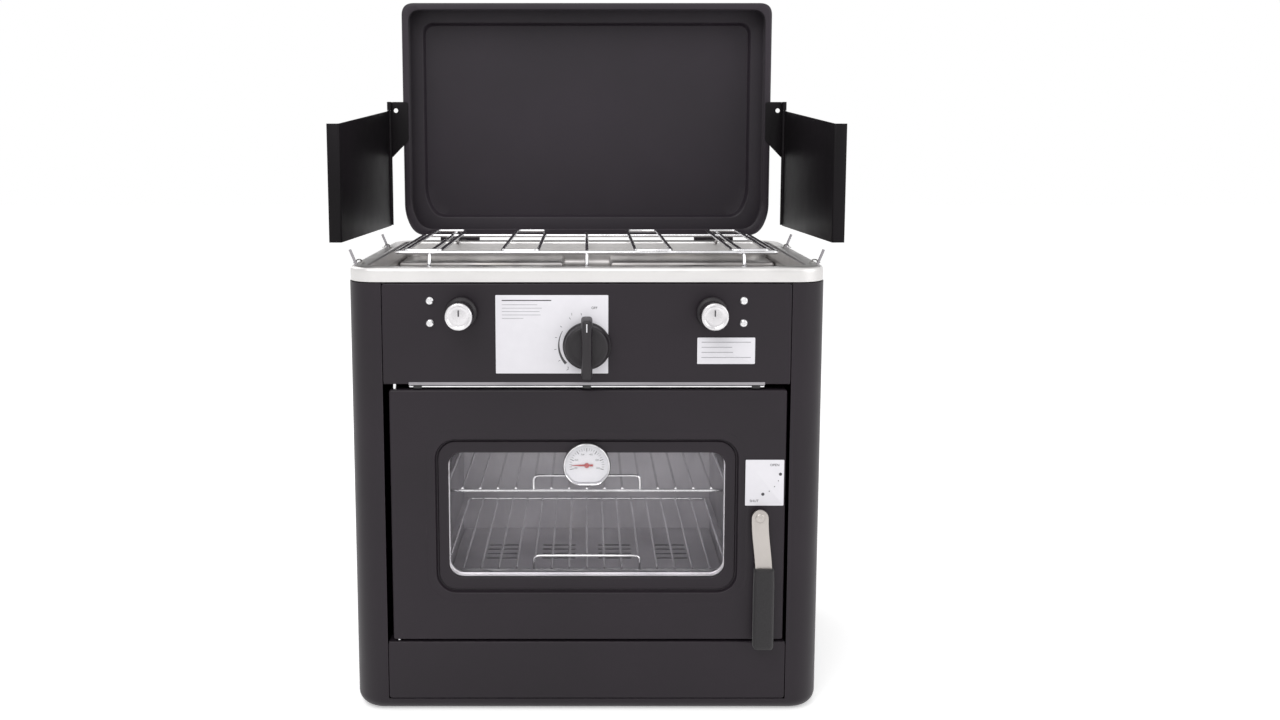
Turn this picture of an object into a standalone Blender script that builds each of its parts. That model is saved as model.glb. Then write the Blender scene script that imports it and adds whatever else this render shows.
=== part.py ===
# Camp oven: a two-burner hob with a fold-up lid over a side-hinged oven.
# Metres, +Z up, front towards -Y. The origin is the middle of the flat underside.
import math

import bmesh
import bpy
from mathutils import Matrix, Vector

# Overall sizes
WIDTH = 0.450
DEPTH = 0.285
BODY_TOP = 0.418
CORNER_R = 0.028
FOOT_R = 0.012
HALF_W = WIDTH / 2
FRONT = -DEPTH / 2
BACK = DEPTH / 2

# Sheet metal, wires and clearances
SHEET = 0.0012
FIT = 0.0003
PLAY = 0.0008
WIRE = 0.0036
RACK_WIRE = 0.0030
OVERRUN = 0.010
ARC_STEPS = 5
ROUND_STEPS = 24

# Front sheets and the opening between the posts
POST = 0.0335
RAIL_TOP = 0.070
RAIL_BOTTOM = 0.0125
PANEL_HEIGHT = 0.0955
PANEL_DEPTH = 0.016
SEAM = 0.0004
ROD_WIRE = 0.0026
ROD_DROP = 0.0028
ROD_SETBACK = 0.0035
ROD_END_GAP = 0.0245
ROD_CLIP = 0.008
OPENING_HALF = HALF_W - POST
PANEL_HALF = OPENING_HALF - SEAM
PANEL_BOTTOM = BODY_TOP - PANEL_HEIGHT

# Hob tray
RIM_HEIGHT = 0.010
RIM_INSET = 0.0005
RIM_WIDTH = 0.016
TRAY_DEPTH = 0.028
TRAY_R = 0.018
BURNER_SHARE = 0.516
BURNER_HOLE_R = 0.028
RIM_TOP = BODY_TOP + RIM_HEIGHT
TRAY_FLOOR = RIM_TOP - TRAY_DEPTH
BURNER_X = HALF_W * BURNER_SHARE

# Burners
HEAD_R = 0.037
HEAD_HEIGHT = 0.0105
NECK_R = 0.0265
NECK_DROP = 0.014
PORT_COUNT = 20
PORT_WIDTH = 0.0026
PORT_DEPTH = 0.0042
PORT_REACH = 0.010
CAP_R = 0.0355
CAP_HEIGHT = 0.0045
MIXER_R = 0.0065
MIXER_FLOOR_GAP = 0.0105
JET_GAP = 0.003

# Pan grate
GRATE_RISE = 0.0195
GRATE_SIDE_GAP = 0.043
GRATE_FRONT_GAP = 0.0305
GRATE_REAR_GAP = 0.0265
GRATE_CROSS_GAP = 0.0705
GRATE_FOOT_GAP = 0.0085
GRATE_LEG_SHARE = 0.825
LOOP_SHARES = (0.35, 0.86)
LOOP_WIDTH = 0.034
GRATE_TOP = RIM_TOP + GRATE_RISE
GRATE_Z = GRATE_TOP - WIRE / 2
GRATE_HALF = HALF_W - GRATE_SIDE_GAP
GRATE_FRONT = FRONT + GRATE_FRONT_GAP
GRATE_REAR = BACK - GRATE_REAR_GAP
GRATE_CROSS_REAR = BACK - GRATE_CROSS_GAP
GRATE_FOOT_Y = BACK - GRATE_FOOT_GAP
GRATE_LEG_X = GRATE_HALF * GRATE_LEG_SHARE

# Door
DOOR_LEFT_GAP = 0.0055
DOOR_RIGHT_GAP = 0.0030
DOOR_TOP_GAP = 0.0055
DOOR_BOTTOM_GAP = 0.0020
DOOR_THICK = 0.018
PIVOT_SETBACK = 0.005
PIN_R = 0.0020
PIN_PLAY = 0.0004
DOOR_LEFT = -OPENING_HALF + DOOR_LEFT_GAP
DOOR_RIGHT = OPENING_HALF - DOOR_RIGHT_GAP
DOOR_FRONT = FRONT
DOOR_BACK = DOOR_FRONT + DOOR_THICK
DOOR_BOTTOM = RAIL_TOP + DOOR_BOTTOM_GAP
DOOR_TOP = PANEL_BOTTOM - DOOR_TOP_GAP
PIVOT_X = DOOR_LEFT + PIVOT_SETBACK
PIVOT_Y = DOOR_FRONT + PIVOT_SETBACK

# Oven cavity
LINER_SIDE_GAP = 0.0435
SEAL_GAP = 0.0045
LINER_BACK_GAP = 0.0265
LINER_RISE = 0.002
LINER_DROP = 0.0105
FRAME_SIDE = 0.019
FRAME_TOP = 0.0095
FRAME_BOTTOM = 0.003
FLOOR_GAP = 0.018
SLOT_LENGTH = 0.038
SLOT_WIDTH = 0.005
SLOT_PITCH = 0.013
SLOT_ROWS = 4
SLOT_COLUMN_SHARES = (-0.63, -0.21, 0.21, 0.63)
SLOT_GROUP_SHARES = (-0.39, 0.36)
OVEN_TUBE_R = 0.0055
OVEN_TUBE_END_GAP = 0.048
OVEN_TUBE_BACK_GAP = 0.056
OVEN_TUBE_OUT = 0.010
RUNNER_DEPTH = 0.007
RUNNER_REACH = 0.016
VENT_GAP = 0.010
LINER_HALF = OPENING_HALF - LINER_SIDE_GAP
LINER_FRONT = DOOR_BACK + SEAL_GAP
LINER_BACK = BACK - LINER_BACK_GAP
LINER_BOTTOM = RAIL_TOP + LINER_RISE
LINER_TOP = PANEL_BOTTOM - LINER_DROP
OVEN_TUBE_HALF = LINER_HALF - OVEN_TUBE_END_GAP
OVEN_TUBE_Y = LINER_BACK - OVEN_TUBE_BACK_GAP

# Oven racks
RACK_SHARES = (0.2375, 0.575)
RACK_SIDE_GAP = 0.009
RACK_FRONT_GAP = 0.008
RACK_BACK_GAP = 0.010
RACK_BARS = 15
RACK_HANDLE_HALF = 0.052
RACK_HANDLE_RISE = 0.015
RACK_LEVELS = [LINER_BOTTOM + (LINER_TOP - LINER_BOTTOM) * share for share in RACK_SHARES]
RACK_HALF = LINER_HALF - RACK_SIDE_GAP
RACK_FRONT = LINER_FRONT + RACK_FRONT_GAP
RACK_BACK = LINER_BACK - RACK_BACK_GAP

# Sunk frame and window of the door
BEZEL_SIDE = 0.0055
BEZEL_SILL = 0.048
BEZEL_HEAD = 0.049
BEZEL_R = 0.018
BEZEL_STEP = 0.0030
GLASS_SIDE = 0.011
GLASS_SILL = 0.013
GLASS_HEAD = 0.012
WINDOW_R = 0.013
GLASS_THICK = 0.004
GLASS_LAP = 0.009
SEAL_THICK = 0.0016
SEAL_LAP = 0.005
BEZEL_HALF = LINER_HALF - BEZEL_SIDE
BEZEL_BOTTOM = DOOR_BOTTOM + BEZEL_SILL
BEZEL_TOP = DOOR_TOP - BEZEL_HEAD
GLASS_HALF = BEZEL_HALF - GLASS_SIDE
GLASS_BOTTOM = BEZEL_BOTTOM + GLASS_SILL
GLASS_TOP = BEZEL_TOP - GLASS_HEAD

# Thermometer on the door
GAUGE_DROP = 0.0115
GAUGE_R = 0.0225
GAUGE_FLAT = 0.0185
GAUGE_THICK = 0.0080
GAUGE_LIP = 0.0018
DIAL_THICK = 0.0010
NEEDLE_LENGTH = 0.0300
NEEDLE_WIDTH = 0.0016
NEEDLE_THICK = 0.0008
NEEDLE_HUB_R = 0.0024
GAUGE_Z = GLASS_TOP - GAUGE_DROP

# Door latch
LATCH_INSET = 0.025
LATCH_ABOVE_MIDDLE = 0.001
LATCH_BAR_WIDTH = 0.016
LATCH_BAR_THICK = 0.0025
LATCH_BAR_DROP = 0.060
LATCH_SWEEP = 0.0045
LATCH_STAND = 0.006
LATCH_SHAFT_R = 0.0045
LATCH_BOSS_R = 0.0063
GRIP_WIDTH = 0.0195
GRIP_THICK = 0.012
GRIP_START = 0.057
GRIP_LENGTH = 0.0715
GRIP_CORNER = 0.004
TONGUE_LENGTH = 0.022
TONGUE_WIDTH = 0.012
TONGUE_THICK = 0.0025
LATCH_X = DOOR_RIGHT - LATCH_INSET
LATCH_Z = (DOOR_BOTTOM + DOOR_TOP) / 2 + LATCH_ABOVE_MIDDLE
GRIP_TOP = LATCH_Z - GRIP_START
GRIP_BOTTOM = GRIP_TOP - GRIP_LENGTH

# Controls
KNOB_DROP = 0.058
SIDE_KNOB_DROP = 0.027
OVEN_KNOB_R = 0.0225
OVEN_KNOB_HEIGHT = 0.012
OVEN_GRIP_HEIGHT = 0.014
OVEN_GRIP_WIDTH = 0.0105
OVEN_GRIP_REACH = 0.0280
SIDE_KNOB_R = 0.0125
SIDE_KNOB_HEIGHT = 0.0265
SKIRT_R = 0.0150
SKIRT_HEIGHT = 0.006
KNOB_STAND = 0.0045
STEM_R = 0.0030
PUSH_TRAVEL = 0.003
VALVE_WIDTH = 0.014
VALVE_LENGTH = 0.027
VALVE_BACK = 0.010
MANIFOLD_R = 0.006
FEED_R = 0.003
FEED_DROP = 0.0205
FEED_SIDE_GAP = 0.020
SCREW_GAP = 0.030
SCREW_DZ = 0.0105
SCREW_R = 0.0040
SCREW_SHANK_R = 0.0020
SCREW_HEAD = 0.0022
SCREW_LENGTH = 0.007
KNOB_Z = BODY_TOP - KNOB_DROP
SIDE_KNOB_Z = BODY_TOP - SIDE_KNOB_DROP
SCREW_X = BURNER_X + SCREW_GAP

# Plates stuck on the front: their reach to the left, right, down and up from what they belong to
PLATE_THICK = 0.0007
CONTROL_PLATE_REACH = (0.085, 0.020, 0.027, 0.047)
SMALL_PLATE_REACH = (0.013, 0.041, 0.049, -0.024)
LATCH_PLATE_REACH = (0.0135, 0.0230, -0.0100, 0.0545)

# Lid
LID_SIDE_GAP = 0.0095
LID_FACE_GAP = 0.0035
LID_AXIS_RISE = 0.006
LID_BOTTOM_RISE = 0.003
LID_SHORTER = 0.011
LID_DEPTH = 0.044
LID_R = 0.014
LID_LIP = 0.008
LID_CHAMFER_Z = 0.024
LID_CHAMFER_X = 0.012
LID_STEP = 0.018
LID_STEP_DEPTH = 0.012
HINGE_SHARE = 0.667
HINGE_LENGTH = 0.046
KNUCKLE_R = 0.0026
LEAF_HEIGHT = 0.022
HINGE_PIN_R = 0.0012
LID_HALF = HALF_W - LID_SIDE_GAP
LID_FACE = BACK + LID_FACE_GAP
LID_AXIS_Y = LID_FACE
LID_AXIS_Z = RIM_TOP + LID_AXIS_RISE
LID_BOTTOM = LID_AXIS_Z + LID_BOTTOM_RISE
LID_TOP = LID_AXIS_Z + DEPTH - LID_SHORTER
HINGE_X = HALF_W * HINGE_SHARE

# Side wind panels
WING_SIDE_GAP = 0.0056
WING_SETBACK = 0.004
WING_SHORTER = 0.070
WING_SPLAY = 0.012
WING_GRATE_GAP = 0.0017
WING_REAR_HEIGHT = 0.1328
WING_FRONT_HEIGHT = 0.1168
WING_FLANGE = 0.012
WING_SHEET = 0.0010
WING_KNUCKLE_R = 0.0026
WING_PIN_R = 0.0012
EAR_RISE = 0.012
EAR_HEIGHT = 0.066
EAR_INNER = 0.0215
EAR_CHAMFER = 0.014
COLLAR_HEIGHT = 0.010
WING_X = HALF_W + WING_SIDE_GAP
WING_AXIS_Y = LID_FACE - WING_SETBACK
WING_REACH = DEPTH - WING_SHORTER
WING_BOTTOM = GRATE_TOP + WING_GRATE_GAP
WING_TOP_REAR = WING_BOTTOM + WING_REAR_HEIGHT
WING_TOP_FRONT = WING_BOTTOM + WING_FRONT_HEIGHT
EAR_TOP = WING_TOP_REAR + EAR_RISE

# Wire stays of the wind panels
STAY_WIRE = 0.0026
STAY_INSET = 0.0055
STAY_FRONT_GAP = 0.0325
STAY_BACK_GAP = 0.0845
STAY_RISE = 0.0175
STAY_RUN = 0.0070
EYE_LENGTH = 0.008
EYE_WALL = 0.0012
STAY_X = HALF_W - STAY_INSET
STAY_FRONT = FRONT + STAY_FRONT_GAP
STAY_BACK = BACK - STAY_BACK_GAP

# Gas inlet on the back
INLET_INSET = 0.045
INLET_R = 0.009
INLET_REACH = 0.024
INLET_TAIL = 0.010
INLET_BORE_R = 0.004
INLET_X = HALF_W - INLET_INSET


def clear_scene():
    """Remove whatever objects the open file holds."""
    for old in list(bpy.data.objects):
        bpy.data.objects.remove(old, do_unlink=True)


def finish(name, colour, metallic, roughness):
    """A plain Principled material for one sub-part."""
    mat = bpy.data.materials.new(name)
    mat.use_nodes = True
    shader = mat.node_tree.nodes["Principled BSDF"]
    shader.inputs["Base Color"].default_value = (*colour, 1)
    shader.inputs["Metallic"].default_value = metallic
    shader.inputs["Roughness"].default_value = roughness
    return mat


def black_paint(name):
    """Satin black baked paint."""
    return finish(name, (0.030, 0.028, 0.029), 0, 0.45)


def steel(name):
    """Bright stainless sheet."""
    return finish(name, (0.60, 0.59, 0.58), 1, 0.32)


def chrome(name):
    """Chromed wire and trim."""
    return finish(name, (0.80, 0.80, 0.80), 1, 0.12)


def rubber(name):
    """Black silicone and moulded heat-proof plastic."""
    return finish(name, (0.020, 0.020, 0.021), 0, 0.6)


def brass(name):
    """Turned brass of the gas fittings."""
    return finish(name, (0.62, 0.45, 0.20), 1, 0.3)


def place(name, mesh_builder, material, origin=(0, 0, 0)):
    """Put a bmesh into the scene as a named object whose origin is the given world point."""
    bmesh.ops.translate(mesh_builder, verts=mesh_builder.verts, vec=-Vector(origin))
    bmesh.ops.recalc_face_normals(mesh_builder, faces=mesh_builder.faces)
    mesh = bpy.data.meshes.new(name)
    mesh_builder.to_mesh(mesh)
    mesh_builder.free()
    obj = bpy.data.objects.new(name, mesh)
    obj.location = origin
    bpy.context.scene.collection.objects.link(obj)
    if material is not None:
        mesh.materials.append(material)
        mesh.shade_smooth()
        mesh.set_sharp_from_angle(angle=math.radians(35))
    return obj


def tool(name, mesh_builder, origin=(0, 0, 0)):
    """A shape that only cuts or joins: it is hidden from the finished part."""
    obj = place(name, mesh_builder, None, origin)
    obj.hide_render = True
    obj.display_type = "WIRE"
    return obj


def combine(obj, other, operation):
    """Add one exact Boolean to an object."""
    step = obj.modifiers.new(operation.lower() + "_" + other.name, "BOOLEAN")
    step.operation = operation
    step.solver = "EXACT"
    step.object = other


def cut(obj, mesh_builder):
    """Take a shape out of an object."""
    combine(obj, tool(obj.name + "_cutter", mesh_builder), "DIFFERENCE")


def weld(obj, mesh_builder):
    """Join a shape to an object as one body."""
    combine(obj, tool(obj.name + "_addition", mesh_builder), "UNION")


def block(x0, x1, y0, y1, z0, z1):
    """A box between two corners."""
    bm = bmesh.new()
    size = Vector((x1 - x0, y1 - y0, z1 - z0))
    middle = Vector((x1 + x0, y1 + y0, z1 + z0)) / 2
    bmesh.ops.create_cube(bm, size=1, matrix=Matrix.Translation(middle) @ Matrix.Diagonal((*size, 1)))
    return bm


TURN_TO = {
    "x": Matrix(((0, 0, 1), (1, 0, 0), (0, 1, 0))).to_4x4(),
    "y": Matrix(((1, 0, 0), (0, 0, 1), (0, 1, 0))).to_4x4(),
    "z": Matrix.Identity(4),
}


def extrude(outline, axis, low, high):
    """A prism: the outline's two numbers run along the other two axes, in X, Y, Z order."""
    bm = bmesh.new()
    corners = [bm.verts.new((u, v, low)) for u, v in outline]
    face = bm.faces.new(corners)
    grown = bmesh.ops.extrude_face_region(bm, geom=[face])
    top = [item for item in grown["geom"] if isinstance(item, bmesh.types.BMVert)]
    bmesh.ops.translate(bm, verts=top, vec=(0, 0, high - low))
    bmesh.ops.transform(bm, matrix=TURN_TO[axis], verts=bm.verts)
    return bm


def round_rect(u0, u1, v0, v1, radius, steps=ARC_STEPS):
    """The outline of a rectangle with round corners."""
    points = []
    corners = ((u1, v1, 0), (u0, v1, 1), (u0, v0, 2), (u1, v0, 3))
    for u, v, quarter in corners:
        middle_u = u + (radius if u == u0 else -radius)
        middle_v = v + (radius if v == v0 else -radius)
        for step in range(steps + 1):
            angle = math.pi / 2 * (quarter + step / steps)
            points.append((middle_u + radius * math.cos(angle), middle_v + radius * math.sin(angle)))
    return points


def plate(axis, low, high, u0, u1, v0, v1, radius):
    """A plate with round corners."""
    return extrude(round_rect(u0, u1, v0, v1, radius), axis, low, high)


def disc(axis, centre, radius, low, high, steps=ROUND_STEPS, radius_high=None):
    """A round bar or cone along an axis; the centre gives the other two places."""
    bm = bmesh.new()
    far = radius if radius_high is None else radius_high
    middle = Matrix.Translation((centre[0], centre[1], (low + high) / 2))
    bmesh.ops.create_cone(bm, cap_ends=True, segments=steps, radius1=radius, radius2=far,
                          depth=high - low, matrix=middle)
    bmesh.ops.transform(bm, matrix=TURN_TO[axis], verts=bm.verts)
    return bm


def turned(profile, axis, centre, steps=ROUND_STEPS):
    """A lathe shape: profile points are radius and place along the axis, from axis to axis."""
    bm = bmesh.new()
    line = [bm.verts.new((radius, 0, along)) for radius, along in profile]
    edges = [bm.edges.new(pair) for pair in zip(line, line[1:])]
    bmesh.ops.spin(bm, geom=line + edges, cent=(0, 0, 0), axis=(0, 0, 1),
                   angle=math.tau, steps=steps, use_merge=True)
    bmesh.ops.remove_doubles(bm, verts=bm.verts, dist=FIT / 100)
    bmesh.ops.translate(bm, verts=bm.verts, vec=(*centre, 0))
    bmesh.ops.transform(bm, matrix=TURN_TO[axis], verts=bm.verts)
    return bm


def wire(points, diameter, roundness=1, closed=False):
    """A wire bent through points, as a closed tube."""
    curve = bpy.data.curves.new("wire_path", "CURVE")
    curve.dimensions = "3D"
    curve.bevel_depth = diameter / 2
    curve.bevel_resolution = roundness
    curve.render_resolution_u = 0
    curve.use_fill_caps = True
    spline = curve.splines.new("POLY")
    spline.points.add(len(points) - 1)
    for slot, point in zip(spline.points, points):
        slot.co = (*point, 1)
    spline.use_cyclic_u = closed
    holder = bpy.data.objects.new("wire_path", curve)
    bpy.context.scene.collection.objects.link(holder)
    bpy.context.view_layer.update()
    mesh = bpy.data.meshes.new_from_object(holder.evaluated_get(bpy.context.evaluated_depsgraph_get()))
    bpy.data.objects.remove(holder, do_unlink=True)
    bm = bmesh.new()
    bm.from_mesh(mesh)
    bpy.data.meshes.remove(mesh)
    bmesh.ops.remove_doubles(bm, verts=bm.verts, dist=FIT / 100)
    return bm


def rounded_path(points, radius, steps=3):
    """The points of a bent wire with each inner corner rounded."""
    path = [Vector(points[0])]
    for before, corner, after in zip(points, points[1:], points[2:]):
        corner = Vector(corner)
        inward = (Vector(before) - corner).normalized() * radius
        outward = (Vector(after) - corner).normalized() * radius
        for step in range(steps + 1):
            share = step / steps
            first = corner + inward * (1 - share)
            second = corner + outward * share
            path.append(first.lerp(second, share))
    path.append(Vector(points[-1]))
    return path


def swing(bm, pivot, angle):
    """Turn a shape about an upright axis through a point."""
    middle = Vector(pivot)
    turn = Matrix.Translation(middle) @ Matrix.Rotation(angle, 4, "Z") @ Matrix.Translation(-middle)
    bmesh.ops.transform(bm, matrix=turn, verts=bm.verts)
    return bm


def both_sides(builder):
    """Call a builder for the left and the right copy with its name and side."""
    for side_name, side in (("left", -1), ("right", 1)):
        builder(side_name, side)


def span(side, inner, outer):
    """Two places on one side of the middle plane, in rising order."""
    return sorted((side * inner, side * outer))


def cabinet_shell():
    """Folded sheet body: floor, sides, back and the two front posts."""
    rim = round_rect(-HALF_W, HALF_W, FRONT, BACK, CORNER_R)
    bm = extrude(rim, "z", 0, BODY_TOP)
    floor_edges = [e for e in bm.edges if all(v.co.z < FIT for v in e.verts)]
    bmesh.ops.bevel(bm, geom=floor_edges, offset=FOOT_R, segments=3, profile=0.5, affect="EDGES",
                    clamp_overlap=True)
    shell = place("cabinet_shell", bm, black_paint("cabinet_paint"))
    inner = round_rect(-HALF_W + SHEET, HALF_W - SHEET, FRONT + SHEET, BACK - SHEET, CORNER_R - SHEET)
    hollow = extrude(inner, "z", SHEET, BODY_TOP + OVERRUN)
    hollow_edges = [e for e in hollow.edges if all(v.co.z < SHEET + FIT for v in e.verts)]
    bmesh.ops.bevel(hollow, geom=hollow_edges, offset=FOOT_R - SHEET, segments=3, profile=0.5,
                    affect="EDGES", clamp_overlap=True)
    cut(shell, hollow)
    cut(shell, block(-OPENING_HALF, OPENING_HALF, FRONT - OVERRUN, FRONT + SHEET + FIT,
                     RAIL_BOTTOM, BODY_TOP + OVERRUN))
    inlet_hole = disc("y", (INLET_X, manifold_z()), INLET_R * 2 / 3 + FIT, BACK - OVERRUN, BACK + OVERRUN)
    cut(shell, inlet_hole)
    vent_half = SLOT_LENGTH
    for row in range(SLOT_ROWS):
        low = LINER_TOP + VENT_GAP + row * SLOT_PITCH
        cut(shell, block(-vent_half, vent_half, BACK - OVERRUN, BACK + OVERRUN, low, low + SLOT_WIDTH))


def flanged_front(name, low, high, flange_low):
    """A front sheet between the posts with one flange turned inwards."""
    front = block(-PANEL_HALF, PANEL_HALF, FRONT, FRONT + SHEET, low, high)
    panel = place(name, front, black_paint(name + "_paint"))
    weld(panel, block(-PANEL_HALF + FIT, PANEL_HALF - FIT, FRONT + SHEET / 2, FRONT + PANEL_DEPTH,
                      flange_low, flange_low + SHEET))
    cut(panel, disc("z", (PIVOT_X, PIVOT_Y), PIN_R + FIT, flange_low - SHEET, flange_low + 2 * SHEET,
                    ROUND_STEPS // 2))
    return panel


def control_panel():
    """Sheet above the door that carries the knobs."""
    panel = flanged_front("control_panel", PANEL_BOTTOM, BODY_TOP - SEAM, PANEL_BOTTOM)
    for x, z in control_places():
        cut(panel, disc("y", (x, z), STEM_R + PIN_PLAY, FRONT - OVERRUN, FRONT + SHEET + FIT,
                        ROUND_STEPS // 2))
    for x, z in screw_places():
        cut(panel, disc("y", (x, z), SCREW_SHANK_R + FIT, FRONT - OVERRUN, FRONT + SHEET + FIT,
                        ROUND_STEPS // 2))


def panel_rod():
    """Bright rod in the gap above the door, held up to the control panel by three clips."""
    y = FRONT + ROD_SETBACK
    z = PANEL_BOTTOM - ROD_DROP
    half = OPENING_HALF - ROD_END_GAP
    bar = disc("x", (y, z), ROD_WIRE / 2, -half, half, ROUND_STEPS // 2)
    rod = place("panel_rod", bar, chrome("rod_chrome"))
    for middle in (-half + ROD_CLIP, 0, half - ROD_CLIP):
        weld(rod, block(middle - ROD_CLIP / 2, middle + ROD_CLIP / 2, y - ROD_WIRE / 2 - FIT,
                        y + ROD_WIRE / 2 + FIT, z, PANEL_BOTTOM - FIT))


def lower_rail():
    """Sheet below the door."""
    flanged_front("lower_rail", RAIL_BOTTOM + SEAM, RAIL_TOP, RAIL_TOP - SHEET)


def control_places():
    """Middle of each knob on the control panel: left, oven, right."""
    return ((-BURNER_X, SIDE_KNOB_Z), (0, KNOB_Z), (BURNER_X, SIDE_KNOB_Z))


def screw_places():
    """Middle of each screw beside the side knobs."""
    return [(x, SIDE_KNOB_Z + dz) for x in (-SCREW_X, SCREW_X) for dz in (SCREW_DZ, -SCREW_DZ)]


def panel_screws():
    """The four bright screws of the control panel."""
    for count, (x, z) in enumerate(screw_places(), 1):
        head = turned([(0, FRONT - FIT - SCREW_HEAD), (SCREW_R * 3 / 4, FRONT - FIT - SCREW_HEAD),
                       (SCREW_R, FRONT - FIT - SCREW_HEAD / 3), (SCREW_R, FRONT - FIT),
                       (SCREW_SHANK_R, FRONT - FIT), (SCREW_SHANK_R, FRONT + SCREW_LENGTH),
                       (0, FRONT + SCREW_LENGTH)], "y", (x, z), ROUND_STEPS // 2)
        place("panel_screw_%d" % count, head, chrome("screw_steel_%d" % count))


def door_pins():
    """Top and bottom pins that carry the door."""
    shank = PANEL_DEPTH / 2
    seats = (("door_pin_top", PANEL_BOTTOM + SHEET + FIT, 1),
             ("door_pin_bottom", RAIL_TOP - SHEET - FIT, -1))
    for name, seat, up in seats:
        head = seat + up * SHEET * 2
        tip = seat - up * (shank + SHEET)
        profile = [(0, head), (PIN_R * 3 / 2, head), (PIN_R * 3 / 2, seat), (PIN_R, seat), (PIN_R, tip),
                   (0, tip)]
        pin = turned(profile, "z", (PIVOT_X, PIVOT_Y), ROUND_STEPS // 2)
        place(name, pin, chrome(name + "_steel"))


def front_plates():
    """Blank plates on the front: one round the oven knob and a small one under the right knob."""
    sheet = blank_plate("control_plate", 0, KNOB_Z, CONTROL_PLATE_REACH)
    cut(sheet, disc("y", (0, KNOB_Z), STEM_R + PIN_PLAY, FRONT - OVERRUN, FRONT))
    blank_plate("small_plate", BURNER_X, SIDE_KNOB_Z, SMALL_PLATE_REACH)


def blank_plate(name, x, z, reach, origin=(0, 0, 0)):
    """A thin white plate on the front that reaches left, right, down and up from a place."""
    left, right, down, up = reach
    back = FRONT - FIT
    sheet = block(x - left, x + right, back - PLATE_THICK, back, z - down, z + up)
    return place(name, sheet, finish(name + "_print", (0.80, 0.80, 0.80), 0, 0.4), origin)


def oven_liner():
    """Steel box of the oven, open at the front, with a flat frame around its mouth."""
    walls = block(-LINER_HALF, LINER_HALF, LINER_FRONT, LINER_BACK, LINER_BOTTOM, LINER_TOP)
    liner = place("oven_liner", walls, steel("liner_steel"))
    weld(liner, block(-LINER_HALF - FRAME_SIDE, LINER_HALF + FRAME_SIDE, LINER_FRONT, LINER_FRONT + SHEET,
                      LINER_BOTTOM - FRAME_BOTTOM, LINER_TOP + FRAME_TOP))
    cut(liner, block(-LINER_HALF + SHEET, LINER_HALF - SHEET, LINER_FRONT - OVERRUN, LINER_BACK - SHEET,
                     LINER_BOTTOM + SHEET, LINER_TOP - SHEET))
    cut(liner, disc("x", (OVEN_TUBE_Y, oven_tube_z()), OVEN_TUBE_R + FIT, 0, LINER_HALF + OVERRUN))


def oven_tube_z():
    """Height of the oven burner tube's middle."""
    return LINER_BOTTOM + SHEET + PLAY + OVEN_TUBE_R


def oven_burner():
    """Gas tube under the oven floor, blind at its left end and open at its feed."""
    middle = (OVEN_TUBE_Y, oven_tube_z())
    end = LINER_HALF + OVEN_TUBE_OUT
    bar = disc("x", middle, OVEN_TUBE_R, -OVEN_TUBE_HALF, end, ROUND_STEPS // 2)
    tube = place("oven_burner", bar, steel("burner_tube_steel"))
    blind_end = SHEET - OVEN_TUBE_HALF
    cut(tube, disc("x", middle, OVEN_TUBE_R - SHEET, blind_end, end + OVERRUN, ROUND_STEPS // 2))


def oven_feed_pipe():
    """Pipe from the oven valve round the liner to the mouth of the oven burner."""
    y = FRONT + SHEET + FIT + VALVE_LENGTH - 2 * FEED_R
    top = KNOB_Z - VALVE_WIDTH / 2 - FIT
    run = top - FEED_DROP
    side = LINER_HALF + FEED_SIDE_GAP
    foot = oven_tube_z()
    path = ((0, y, top), (0, y, run), (side, y, run), (side, OVEN_TUBE_Y, run), (side, OVEN_TUBE_Y, foot),
            (LINER_HALF + OVEN_TUBE_OUT + FIT, OVEN_TUBE_Y, foot))
    place("oven_feed_pipe", wire(rounded_path(path, 3 * FEED_R), 2 * FEED_R), brass("feed_brass"))


def oven_floor():
    """Slotted plate over the oven burner, standing on two turned-down sides."""
    half = LINER_HALF - SHEET - PLAY
    top = LINER_BOTTOM + FLOOR_GAP
    front = LINER_FRONT + SHEET
    back = LINER_BACK - SHEET - PLAY
    foot = LINER_BOTTOM + SHEET + FIT
    bm = block(-half, half, front, back, top - SHEET, top)
    floor = place("oven_floor", bm, steel("floor_steel"))
    for side in (-1, 1):
        x0, x1 = span(side, half - SHEET, half)
        weld(floor, block(x0, x1, front, back, foot, top - SHEET / 2))
    tube_gap = OVEN_TUBE_R + PLAY
    cut(floor, block(half - 2 * SHEET, half + SHEET, OVEN_TUBE_Y - tube_gap, OVEN_TUBE_Y + tube_gap,
                     foot - SHEET, oven_tube_z() + tube_gap))
    for column in SLOT_COLUMN_SHARES:
        x = column * LINER_HALF
        for group in SLOT_GROUP_SHARES:
            middle = (LINER_FRONT + LINER_BACK) / 2 + group * (LINER_BACK - LINER_FRONT) / 2
            for row in range(SLOT_ROWS):
                y = middle + (row - (SLOT_ROWS - 1) / 2) * SLOT_PITCH
                cut(floor, block(x - SLOT_LENGTH / 2, x + SLOT_LENGTH / 2, y - SLOT_WIDTH / 2,
                                 y + SLOT_WIDTH / 2, top - 2 * SHEET, top + SHEET))


def rack_runner(side_name, side):
    """Side ladder of the oven with a ledge under each rack."""
    outer = LINER_HALF - SHEET - FIT
    front = LINER_FRONT + 2 * SHEET
    back = LINER_BACK - 2 * SHEET
    x0, x1 = span(side, outer - SHEET, outer)
    low = RACK_LEVELS[0] - RUNNER_REACH
    high = RACK_LEVELS[-1] + RUNNER_REACH
    runner = place("rack_runner_" + side_name, block(x0, x1, front, back, low, high),
                   steel("runner_steel_" + side_name))
    for level in RACK_LEVELS:
        x0, x1 = span(side, outer - SHEET / 2, outer - SHEET - RUNNER_DEPTH)
        seat = level - RACK_WIRE / 2 - FIT
        weld(runner, block(x0, x1, front, back, seat - SHEET, seat))


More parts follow.
